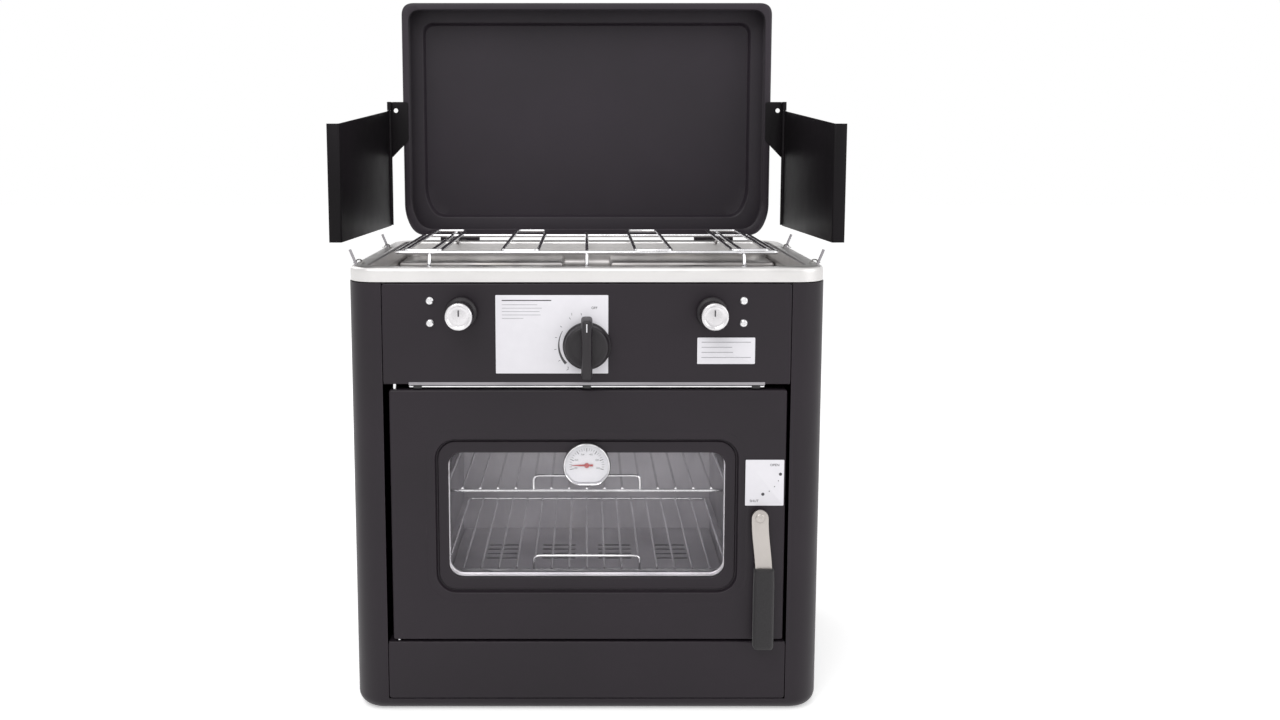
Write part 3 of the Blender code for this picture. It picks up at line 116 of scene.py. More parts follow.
class Surface:
    """A material under construction: the patterns that several finishes share."""

    def __init__(self, name: str, metal: float, roughness: float, ior: float = 1.5) -> None:
        """Start a node material.

        Args:
            name: The material's name.
            metal: The shader's metallic value.
            roughness: The shader's roughness where no pattern drives it.
            ior: The index of refraction of the skin.
        """
        self.material: Material = bpy.data.materials.new(name)
        self.material.use_nodes = True
        self.tree: NodeTree = self.material.node_tree
        self.shader: Node = self.tree.nodes["Principled BSDF"]
        self.set(Metallic=metal, Roughness=roughness)
        if not metal:
            self.set(IOR=ior)
        self.place = add(self.tree, "ShaderNodeTexCoord").outputs["Object"]

    def set(self, **values: object) -> None:
        """Set inputs of the shader; underscores stand for spaces."""
        for name, value in values.items():
            self.shader.inputs[name.replace("_", " ")].default_value = value

    def feed(self, name: str, source: object) -> None:
        """Link an output to one input of the shader."""
        self.tree.links.new(source, self.shader.inputs[name])

    def clouds(self, per_metre: Point, low: float, high: float, bottom: float = 0.0, top: float = 1.0,
               detail: float = 3.0) -> object:
        """Uneven patches as a value.

        Args:
            per_metre: Patches per metre along X, Y and Z.
            low: The noise that gives the bottom value.
            high: The noise that gives the top value.
            bottom: The lowest value.
            top: The highest value.
            detail: How many finer layers the patches have.

        Returns:
            The output with the value.
        """
        turned = add(self.tree, "ShaderNodeMapping", {"Scale": per_metre}, {"Vector": self.place})
        noise = add(self.tree, "ShaderNodeTexNoise", {"Scale": 1.0, "Detail": detail},
                    {"Vector": turned.outputs[0]})
        limits = {"From Min": low, "From Max": high, "To Min": bottom, "To Max": top}
        return add(self.tree, "ShaderNodeMapRange", limits, {"Value": noise.outputs["Fac"]}).outputs[0]

    def tint(self, share: object, first: object, second: str) -> object:
        """A colour that passes to a second one by a share.

        Args:
            share: The output with the second colour's share.
            first: A hex code, or the output of an earlier tint.
            second: The second colour's hex code.

        Returns:
            The output with the colour, which also leads to the shader.
        """
        mix = add(self.tree, "ShaderNodeMix", {"data_type": "RGBA", 7: linear(second)}, {0: share})
        if isinstance(first, str):
            mix.inputs[6].default_value = linear(first)
        else:
            self.tree.links.new(first, mix.inputs[6])
        self.feed("Base Color", mix.outputs[2])
        return mix.outputs[2]

    def relief(self, per_metre: Point, depth_mm: float, strength: float) -> None:
        """A fine texture of the skin.

        Args:
            per_metre: Its grains per metre along X, Y and Z.
            depth_mm: How deep it is.
            strength: How much of it shows.
        """
        height = self.clouds(per_metre, 0.0, 1.0, detail=2.0)
        bump = add(self.tree, "ShaderNodeBump", {"Strength": strength, "Distance": depth_mm * MM},
                   {"Height": height})
        self.feed("Normal", bump.outputs[0])

    def edges(self, width_mm: float, amount: float) -> object:
        """How near a point is to a worn edge, broken up by scuffs.

        Args:
            width_mm: The worn line's width.
            amount: The share on the edge itself.

        Returns:
            The output with the share.
        """
        rounded = add(self.tree, "ShaderNodeBevel", {"samples": 4, "Radius": width_mm * MM})
        flat = add(self.tree, "ShaderNodeNewGeometry")
        cosine = add(self.tree, "ShaderNodeVectorMath", {"operation": "DOT_PRODUCT"},
                     {0: rounded.outputs[0], 1: flat.outputs["Normal"]})
        near = add(self.tree, "ShaderNodeMapRange", {"From Min": 0.995, "From Max": 0.90, "To Max": amount},
                   {"Value": cosine.outputs["Value"]})
        scuffs = self.clouds((240.0, 240.0, 240.0), 0.38, 0.62)
        return add(self.tree, "ShaderNodeMath", {"operation": "MULTIPLY"},
                   {0: near.outputs[0], 1: scuffs}).outputs[0]


def even(spacing_mm: float) -> Point:
    """Grains per metre, alike in every direction, from a spacing in millimetres."""
    return (1000 / spacing_mm,) * 3


@dataclass(frozen=True)
class BakedPaint:
    """Satin baked enamel on steel: a fine orange-peel skin, faint cloudy patches, thin rubbed edges."""

    name: str = "baked_satin_enamel"
    colour: str = "251f25"
    deep: str = "221d22"
    rubbed: str = "443f43"
    roughness: float = 0.44
    ior: float = 1.33
    peel_mm: float = 1.2
    patch_mm: float = 110.0
    rub_mm: float = 0.7

    def material(self) -> Material:
        """Build the node material.

        Returns:
            The node material.
        """
        skin = Surface(self.name, 0.0, self.roughness, self.ior)
        base = skin.tint(skin.clouds(even(self.patch_mm), 0.35, 0.70), self.deep, self.colour)
        skin.tint(skin.edges(self.rub_mm, 0.8), base, self.rubbed)
        skin.feed("Roughness", skin.clouds(even(22.0), 0.3, 0.7, self.roughness - 0.015,
                                           self.roughness + 0.02))
        skin.relief(even(self.peel_mm), 0.06, 0.5)
        return skin.material


@dataclass(frozen=True)
class SheetSteel:
    """Rolled stainless sheet: a metal with long fine grain, smudges and a soft, broad gloss, and optionally
    painted light past a given height: a lighter colour for a highlight, a darker one for shade.
    """

    name: str = "rolled_stainless"
    colour: str = "c9c6c4"
    dull: str = "a5a2a1"
    roughness: float = 0.30
    grain: Point = (25.0, 900.0, 900.0)
    patch_mm: float = 45.0
    straw: str = "b09c7c"
    straw_share: float = 0.0
    # Painted light: the last three fields give a height, a second colour and which side of the height it lies
    # on; a lighter second colour paints a highlight, a darker one paints shade.
    limit: float = 0.0
    painted_light_colour: str = ""
    above: bool = True

    def material(self) -> Material:
        """Build the node material.

        Returns:
            The node material.
        """
        skin = Surface(self.name, 1.0, self.roughness)
        base = skin.tint(skin.clouds(even(self.patch_mm), 0.30, 0.72, detail=4.0), self.dull, self.colour)
        base = skin.tint(skin.clouds(self.grain, 0.3, 0.9, 0.0, 0.45), base, self.dull)
        if self.straw_share:
            base = skin.tint(skin.clouds(even(70.0), 0.50, 0.75, 0.0, self.straw_share, 5.0), base,
                             self.straw)
        # Painted highlight and painted shade: past the height the colour passes to the second colour.
        if self.painted_light_colour:
            height = add(skin.tree, "ShaderNodeSeparateXYZ", links={0: skin.place}).outputs["Z"]
            ends = (self.limit, self.limit + 2 * MM) if self.above else (self.limit, self.limit - 2 * MM)
            share = add(skin.tree, "ShaderNodeMapRange", {"From Min": ends[0], "From Max": ends[1]},
                        {"Value": height}).outputs[0]
            skin.tint(share, base, self.painted_light_colour)
        low, high = self.roughness - 0.06, self.roughness + 0.12
        skin.feed("Roughness", skin.clouds(even(self.patch_mm / 2), 0.25, 0.75, low, high, 4.0))
        skin.relief(self.grain, 0.02, 0.35)
        return skin.material


@dataclass(frozen=True)
class ChromePlate:
    """Bright chrome on drawn wire and turned parts: a mirror gloss, smeared by handling."""

    name: str = "bright_chrome"
    colour: str = "e9e8ea"
    smear: str = "d0cfd1"
    roughness: float = 0.14

    def material(self) -> Material:
        """Build the node material.

        Returns:
            The node material.
        """
        skin = Surface(self.name, 1.0, self.roughness)
        skin.tint(skin.clouds(even(14.0), 0.35, 0.75), self.colour, self.smear)
        skin.feed("Roughness", skin.clouds(even(9.0), 0.3, 0.8, self.roughness - 0.04, self.roughness + 0.14))
        skin.relief(even(0.8), 0.02, 0.3)
        return skin.material


@dataclass(frozen=True)
class SandCasting:
    """Grey cast aluminium alloy: a grainy metal skin with patches of soot."""

    name: str = "cast_aluminium_alloy"
    colour: str = "8e8d8e"
    soot: str = "4e4b4a"
    grit_mm: float = 0.6

    def material(self) -> Material:
        """Build the node material.

        Returns:
            The node material.
        """
        skin = Surface(self.name, 1.0, 0.5)
        skin.tint(skin.clouds(even(14.0), 0.35, 0.7, detail=5.0), self.soot, self.colour)
        skin.relief(even(self.grit_mm), 0.12, 0.7)
        return skin.material


@dataclass(frozen=True)
class VitreousEnamel:
    """Black glass enamel fired on a pressed cap: a deep gloss, tiny pits and a blue heat bloom."""

    name: str = "vitreous_enamel"
    colour: str = "1c1b1e"
    bloom: str = "2c3147"

    def material(self) -> Material:
        """Build the node material.

        Returns:
            The node material.
        """
        skin = Surface(self.name, 0.0, 0.28, 1.52)
        skin.tint(skin.clouds(even(33.0), 0.45, 0.7), self.colour, self.bloom)
        skin.set(Coat_Weight=0.4)
        skin.relief(even(1.1), 0.05, 0.6)
        return skin.material


@dataclass(frozen=True)
class PhenolicMoulding:
    """Phenolic moulding: a dense half-matt black with a fine spark texture and paler rubbed edges."""

    name: str = "phenolic_moulding"
    colour: str = "1d191d"
    rubbed: str = "3a363a"
    texture_mm: float = 0.5

    def material(self) -> Material:
        """Build the node material.

        Returns:
            The node material.
        """
        skin = Surface(self.name, 0.0, 0.45, 1.45)
        skin.tint(skin.edges(0.6, 0.9), self.colour, self.rubbed)
        skin.relief(even(self.texture_mm), 0.06, 0.6)
        return skin.material


@dataclass(frozen=True)
class SoftRubber:
    """Silicone or braided rope: a dry, nearly shineless black with dust in its pores."""

    name: str = "dipped_silicone"
    colour: str = "1b191b"
    dust: str = "2a272a"
    roughness: float = 0.62
    pore_mm: float = 0.8

    def material(self) -> Material:
        """Build the node material.

        Returns:
            The node material.
        """
        skin = Surface(self.name, 0.0, self.roughness, 1.42)
        skin.tint(skin.clouds(even(self.pore_mm), 0.45, 0.75), self.colour, self.dust)
        skin.set(Sheen_Weight=0.15)
        skin.relief(even(self.pore_mm), 0.10, 0.6)
        return skin.material


@dataclass(frozen=True)
class FloatGlass:
    """Toughened float glass: clear and faintly grey, with a thin film of cooking haze."""

    name: str = "toughened_glass"
    colour: str = "a3a0a6"
    film: str = "c2bfc5"
    cover: float = 0.06

    def material(self) -> Material:
        """Build the node material.

        Returns:
            The node material.
        """
        skin = Surface(self.name, 0.0, 0.06, 1.52)
        skin.tint(skin.clouds(even(55.0), 0.4, 0.75, detail=4.0), self.colour, self.film)
        skin.set(Alpha=self.cover)
        skin.feed("Roughness", skin.clouds(even(40.0), 0.3, 0.8, 0.03, 0.12))
        return skin.material


@dataclass(frozen=True)
class TurnedBrass:
    """Bar brass turned on a lathe: warm yellow, fine tool rings and brown tarnish."""

    name: str = "turned_brass"
    colour: str = "c9a45c"
    tarnish: str = "8a6a3a"

    def material(self) -> Material:
        """Build the node material.

        Returns:
            The node material.
        """
        skin = Surface(self.name, 1.0, 0.3)
        skin.tint(skin.clouds(even(16.0), 0.4, 0.7, detail=4.0), self.colour, self.tarnish)
        skin.relief((300.0, 2500.0, 300.0), 0.03, 0.5)
        return skin.material


@dataclass(frozen=True)
class PrintedCoat:
    """A screen-printed or sprayed coat on a thin plate: even colour with the slightest mottling."""

    name: str = "screen_printed_white"
    colour: str = "e2e0e5"
    shade: str = "dfdde2"
    roughness: float = 0.38

    def material(self) -> Material:
        """Build the node material.

        Returns:
            The node material.
        """
        skin = Surface(self.name, 0.0, self.roughness)
        skin.tint(skin.clouds(even(11.0), 0.35, 0.7), self.shade, self.colour)
        skin.relief(even(0.6), 0.01, 0.3)
        return skin.material


class Finishes:
    """Every material of the oven, each built once."""

    def __init__(self) -> None:
        """Build the materials."""
        self.paint = BakedPaint().material()
        # Painted light: the lid takes a lighter copy of the same black paint, brighter than the body's.
        self.lid_paint_painted_light = BakedPaint("baked_satin_enamel_lid_painted_light", "302a31", "2c272d").material()
        # Painted shade: the wind panels and ears take a darker copy of the same black paint, with a low IOR
        # that dims their gloss.
        self.wing_paint_painted_shade = BakedPaint("baked_satin_enamel_wings_painted_shade", "171417", "121012", "353235",
                                     ior=1.2).material()
        self.liner = SheetSteel("rolled_stainless_liner", "e4e1e5", "c4c1c6", 0.40, (900.0, 900.0, 30.0),
                                straw_share=0.06).material()
        # Painted light: the oven box takes a lighter copy of the liner steel, and painted shade darkens it
        # below the floor plate's top.
        self.cavity = SheetSteel("rolled_stainless_cavity_painted_light", "efecf0", "d2cfd4", 0.42, (900.0, 900.0, 30.0),
                                 straw_share=0.06, limit=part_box("oven_floor")[1].z - 4 * MM, painted_light_colour="2a2726",
                                 above=False).material()
        # Painted highlight: the tray's steel is painted lighter from 15 mm below its rim upwards.
        self.tray = SheetSteel("pressed_stainless_tray_painted_highlight", "b9b6b5", "8f8c8b", 0.34, straw_share=0.12,
                               limit=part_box("hob_tray")[1].z - 15 * MM, painted_light_colour="d8d6d5").material()
        self.bright = SheetSteel("bright_stainless", "e2e0de", "c8c5c2", 0.24,
                                 (30.0, 900.0, 900.0)).material()
        self.hem = SheetSteel("dull_hem_steel", "a29fa3", "8c898d", 0.42, (30.0, 900.0, 900.0)).material()
        self.chrome = ChromePlate().material()
        self.lever = SheetSteel("brushed_lever_steel", "bcb6b2", "a6a19d", 0.32,
                                (30.0, 700.0, 30.0)).material()
        self.knob_face = ChromePlate("satin_chrome_face", "dcdadc", "c9c7c9", 0.26).material()
        self.casting = SandCasting().material()
        self.enamel = VitreousEnamel().material()
        self.plastic = PhenolicMoulding().material()
        self.silicone = SoftRubber().material()
        self.rope = SoftRubber("braided_seal_rope", "262526", "3b393a", 0.8, 1.5).material()
        self.glass = FloatGlass().material()
        self.lens = FloatGlass("polished_lens", "e8ecec", "f4f6f6", 0.06).material()
        self.brass = TurnedBrass().material()
        self.white = PrintedCoat().material()
        self.red = PrintedCoat("red_needle_lacquer", "b8262a", "9d1f25", 0.35).material()
        self.ink = PrintedCoat("grey_printing_ink", "4a484c", "3d3b3f", 0.5).material()
        self.pale_ink = PrintedCoat("pale_printing_ink", "a5a4a9", "98979c", 0.5).material()
        self.clip = PrintedCoat("black_spring_clip", "1f1e20", "171618", 0.5).material()


def box(low: Iterable[float], high: Iterable[float], edge: float = 0.0, segments: int = 2) -> BMesh:
    """A block between two corners, with its edges rounded.

    Args:
        low: The lowest corner.
        high: The highest corner.
        edge: The radius of its edges.
        segments: The steps of each rounded edge.

    Returns:
        The new mesh.
    """
    bm = bmesh.new()
    a, b = Vector(low), Vector(high)
    size = Matrix.Diagonal((*(b - a), 1.0))
    bmesh.ops.create_cube(bm, size=1.0, matrix=Matrix.Translation((a + b) / 2) @ size)
    if edge:
        soften(bm, edge, segments, bm.edges)
    return bm


def soften(bm: BMesh, width: float, segments: int, edges: Iterable[bmesh.types.BMEdge]) -> None:
    """Round some edges of a mesh."""
    bmesh.ops.bevel(bm, geom=list(edges), offset=width, segments=segments, profile=0.5, affect="EDGES",
                    clamp_overlap=True, material=-1)


def sharp_edges(bm: BMesh, degrees: float = 40.0) -> list[bmesh.types.BMEdge]:
    """The edges at which a mesh turns by more than an angle."""
    limit = math.radians(degrees)
    return [e for e in bm.edges if len(e.link_faces) == 2 and e.calc_face_angle(0.0) > limit]


TURN = {
    "x": Matrix(((0, 0, 1, 0), (1, 0, 0, 0), (0, 1, 0, 0), (0, 0, 0, 1))),
    "y": Matrix(((1, 0, 0, 0), (0, 0, 1, 0), (0, 1, 0, 0), (0, 0, 0, 1))),
    "z": Matrix.Identity(4),
}


def prism(outline: Profile, axis: str, low: float, high: float, edge: float = 0.0) -> BMesh:
    """A flat shape with a thickness.

    Args:
        outline: Its corners along the other two axes, in X, Y, Z order.
        axis: The axis of its thickness.
        low: Where it starts on that axis.
        high: Where it ends on that axis.
        edge: The radius of its edges.

    Returns:
        The new mesh.
    """
    bm = bmesh.new()
    face = bm.faces.new([bm.verts.new((u, v, low)) for u, v in outline])
    grown = bmesh.ops.extrude_face_region(bm, geom=[face])["geom"]
    top = [v for v in grown if isinstance(v, bmesh.types.BMVert)]
    bmesh.ops.translate(bm, verts=top, vec=(0.0, 0.0, high - low))
    bmesh.ops.transform(bm, matrix=TURN[axis], verts=bm.verts)
    bmesh.ops.recalc_face_normals(bm, faces=bm.faces)
    if edge:
        soften(bm, edge, 2, sharp_edges(bm))
    return bm


def round_box(u0: float, u1: float, v0: float, v1: float, radius: float, steps: int = 8) -> list[Flat]:
    """The outline of a rectangle with round corners.

    Args:
        u0: Its left side.
        u1: Its right side.
        v0: Its lower side.
        v1: Its upper side.
        radius: The radius of its corners.
        steps: The steps of each corner.

    Returns:
        Its points, counter-clockwise from the upper right corner.
    """
    points = []
    middles = ((u1 - radius, v1 - radius), (u0 + radius, v1 - radius),
               (u0 + radius, v0 + radius), (u1 - radius, v0 + radius))
    for quarter, (u, v) in enumerate(middles):
        for step in range(steps + 1):
            angle = math.pi / 2 * (quarter + step / steps)
            points.append((u + radius * math.cos(angle), v + radius * math.sin(angle)))
    return points


def circle(centre: Flat, radius: float, steps: int = 48) -> list[Flat]:
    """The outline of a circle."""
    return [(centre[0] + radius * math.cos(math.tau * i / steps),
             centre[1] + radius * math.sin(math.tau * i / steps))
            for i in range(steps)]


def pressed(rings: Sequence[tuple[Profile, float]], axis: str, towards: int, wall: float = 0.0,
            capped: bool = True) -> BMesh:
    """A pressed sheet: outlines at depths along an axis, each extruded from the one before.

    Args:
        rings: Each outline with its place on the axis; all have as many points.
        axis: The axis of the press.
        towards: 1 or -1, the way along the axis that the broad face looks.
        wall: The sheet's thickness, grown to the side that the faces look away from; 0 for a solid,
            which is closed at its first outline too.
        capped: Whether the last outline is closed with a face.

    Returns:
        The new mesh.
    """
    bm = bmesh.new()
    outline, place = rings[0]
    verts = [bm.verts.new((u, v, place)) for u, v in outline]
    edges = [bm.edges.new(pair) for pair in zip(verts, verts[1:] + verts[:1])]
    for outline, place in rings[1:]:
        grown = bmesh.ops.extrude_edge_only(bm, edges=edges)["geom"]
        fresh = {item for item in grown if isinstance(item, bmesh.types.BMVert)}
        verts = [next(e.other_vert(v) for e in v.link_edges if e.other_vert(v) in fresh) for v in verts]
        for vert, (u, v) in zip(verts, outline):
            vert.co = (u, v, place)
        edges = [bm.edges.get(pair) for pair in zip(verts, verts[1:] + verts[:1])]
    if capped:
        bmesh.ops.contextual_create(bm, geom=edges)
    bmesh.ops.transform(bm, matrix=TURN[axis], verts=bm.verts)
    bmesh.ops.recalc_face_normals(bm, faces=bm.faces)
    number = "xyz".index(axis)
    if towards * sum(face.normal[number] * face.calc_area() for face in bm.faces) < 0:
        bmesh.ops.reverse_faces(bm, faces=bm.faces)
    if wall:
        bmesh.ops.solidify(bm, geom=bm.faces, thickness=wall)
    else:
        bmesh.ops.holes_fill(bm, edges=[edge for edge in bm.edges if edge.is_boundary])
        bmesh.ops.recalc_face_normals(bm, faces=bm.faces)
    return bm


def lathe(profile: Profile, axis: str, centre: Flat, steps: int = 48) -> BMesh:
    """A turned shape.

    Args:
        profile: Radius and place along the axis, from end to end; a radius of zero lies on the axis.
        axis: The axis that it turns about.
        centre: The axis's place along the other two axes.
        steps: The steps of a turn.

    Returns:
        The new mesh.
    """
    bm = bmesh.new()
    verts = [bm.verts.new((radius, 0.0, along)) for radius, along in profile]
    edges = [bm.edges.new(pair) for pair in zip(verts, verts[1:])]
    bmesh.ops.spin(bm, geom=verts + edges, cent=(0, 0, 0), axis=(0, 0, 1), angle=math.tau, steps=steps,
                   use_merge=True)
    bmesh.ops.remove_doubles(bm, verts=bm.verts, dist=MM / 200)
    bmesh.ops.translate(bm, verts=bm.verts, vec=(*centre, 0.0))
    bmesh.ops.transform(bm, matrix=TURN[axis], verts=bm.verts)
    bmesh.ops.recalc_face_normals(bm, faces=bm.faces)
    return bm


def rounded(profile: Profile, radius: float, steps: int = 4) -> list[Flat]:
    """A profile with its inner corners rounded, as far as its sides allow.

    Args:
        profile: The corners.
        radius: The radius wanted.
        steps: The steps of each corner.

    Returns:
        The points of the rounded profile.
    """
    points = [Vector(p) for p in profile]
    out = [points[0]]
    for before, corner, after in zip(points, points[1:], points[2:]):
        back, ahead = before - corner, after - corner
        reach = min(radius, back.length / 2, ahead.length / 2)
        first, last = corner + back.normalized() * reach, corner + ahead.normalized() * reach
        for step in range(steps + 1):
            share = step / steps
            out.append(first.lerp(corner, share).lerp(corner.lerp(last, share), share))
    out.append(points[-1])
    return [tuple(p) for p in out]


def wires(paths: Sequence[tuple[Sequence[Point], bool]], radius: float, bend: float = 0.0,
          sides: int = 3) -> BMesh:
    """Drawn wires with round bends, as closed tubes.

    Args:
        paths: Each wire's corner points, and whether it closes on itself.
        radius: The wire's radius.
        bend: The radius of its bends.
        sides: The bevel resolution of its round section.

    Returns:
        The new mesh.
    """
    curve = bpy.data.curves.new("wire", "CURVE")
    curve.dimensions = "3D"
    curve.bevel_depth = radius
    curve.bevel_resolution = sides
    curve.use_fill_caps = True
    for corners, closed in paths:
        points = list(corners)
        if bend:
            ring = points[-1:] + points + points[:1] if closed else points
            points = rounded(ring, bend, 5)
            points = points[1:-1] if closed else points
        spline = curve.splines.new("POLY")
        spline.points.add(len(points) - 1)
        for slot, point in zip(spline.points, points):
            slot.co = (*point, 1.0)
        spline.use_cyclic_u = closed
    holder = bpy.data.objects.new("wire", curve)
    bpy.context.scene.collection.objects.link(holder)
    bm = evaluated(holder)
    bmesh.ops.remove_doubles(bm, verts=bm.verts, dist=MM / 100)
    bmesh.ops.recalc_face_normals(bm, faces=bm.faces)
    return bm


def evaluated(holder: Object) -> BMesh:
    """The finished mesh of a helper object.

    Args:
        holder: The object, which is removed.

    Returns:
        The mesh with its modifiers applied.
    """
    bpy.context.view_layer.update()
    graph = bpy.context.evaluated_depsgraph_get()
    mesh = bpy.data.meshes.new_from_object(holder.evaluated_get(graph))
    bpy.data.objects.remove(holder, do_unlink=True)
    bm = bmesh.new()
    bm.from_mesh(mesh)
    bpy.data.meshes.remove(mesh)
    return bm


def carve(bm: BMesh, *tools: BMesh) -> BMesh:
    """Cut shapes out of a closed mesh.

    Args:
        bm: The mesh to cut, which is used up.
        tools: The shapes to take away, which are used up.

    Returns:
        The cut mesh.
    """
    holder = placed("helper", bm)
    cutters = [placed("helper", tool) for tool in tools]
    for cutter in cutters:
        step = holder.modifiers.new("hole", "BOOLEAN")
        step.operation = "DIFFERENCE"
        step.solver = "EXACT"
        step.object = cutter
    cut = evaluated(holder)
    for cutter in cutters:
        bpy.data.objects.remove(cutter, do_unlink=True)
    return cut


def placed(name: str, bm: BMesh) -> Object:
    """A new object of the scene with a finished mesh.

    Args:
        name: The object's name.
        bm: Its mesh, which is used up.

    Returns:
        The new object.
    """
    mesh = bpy.data.meshes.new(name)
    bm.to_mesh(mesh)
    bm.free()
    made = bpy.data.objects.new(name, mesh)
    bpy.context.scene.collection.objects.link(made)
    return made


def joined(*parts: BMesh) -> BMesh:
    """Several meshes as one; the others are used up.

    Args:
        parts: The meshes, which are freed.

    Returns:
        The new mesh.
    """
    whole = parts[0]
    for part in parts[1:]:
        mesh = bpy.data.meshes.new("joined")
        part.to_mesh(mesh)
        part.free()
        whole.from_mesh(mesh)
        bpy.data.meshes.remove(mesh)
    return whole


def moved(bm: BMesh, matrix: Matrix) -> BMesh:
    """A mesh after a transform."""
    bmesh.ops.transform(bm, matrix=matrix, verts=bm.verts)
    return bm


def about(point: Point, axis: str, angle: float) -> Matrix:
    """A turn about an axis through a point."""
    middle = Matrix.Translation(point)
    return middle @ Matrix.Rotation(angle, 4, axis.upper()) @ middle.inverted()


def piece(name: str, bm: BMesh, body: str, slot: Slot, material: Material, *nodes: str,
          smooth: float = 35.0) -> Object:
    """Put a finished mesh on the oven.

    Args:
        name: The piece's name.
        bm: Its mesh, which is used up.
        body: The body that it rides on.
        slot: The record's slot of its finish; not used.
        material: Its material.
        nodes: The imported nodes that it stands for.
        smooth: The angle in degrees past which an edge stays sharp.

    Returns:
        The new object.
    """
    made = placed(name, bm)
    mesh = made.data
    mesh.materials.append(material)
    mesh.shade_smooth()
    mesh.set_sharp_from_angle(angle=math.radians(smooth))
    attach(made, body)
    if nodes:
        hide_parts(*nodes)
    log.info("%s on %s: %d faces", name, body, len(mesh.polygons))
    return made


def dress(nodes: Iterable[str], material: Material) -> None:
    """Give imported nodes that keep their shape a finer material.

    Args:
        nodes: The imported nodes.
        material: Their finish.
    """
    for node in nodes:
        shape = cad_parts[node]
        shape.data.materials.clear()
        shape.data.materials.append(material)
        log.info("%s keeps its shape", node)


def quarter(radius: float, steps: int = 5) -> list[Flat]:
    """The inset and depth of each point of a rounded fold, from its side to its face."""
    turns = [math.pi / 2 * step / steps for step in range(steps + 1)]
    return [(radius * (1 - math.cos(a)), radius * (1 - math.sin(a))) for a in turns]


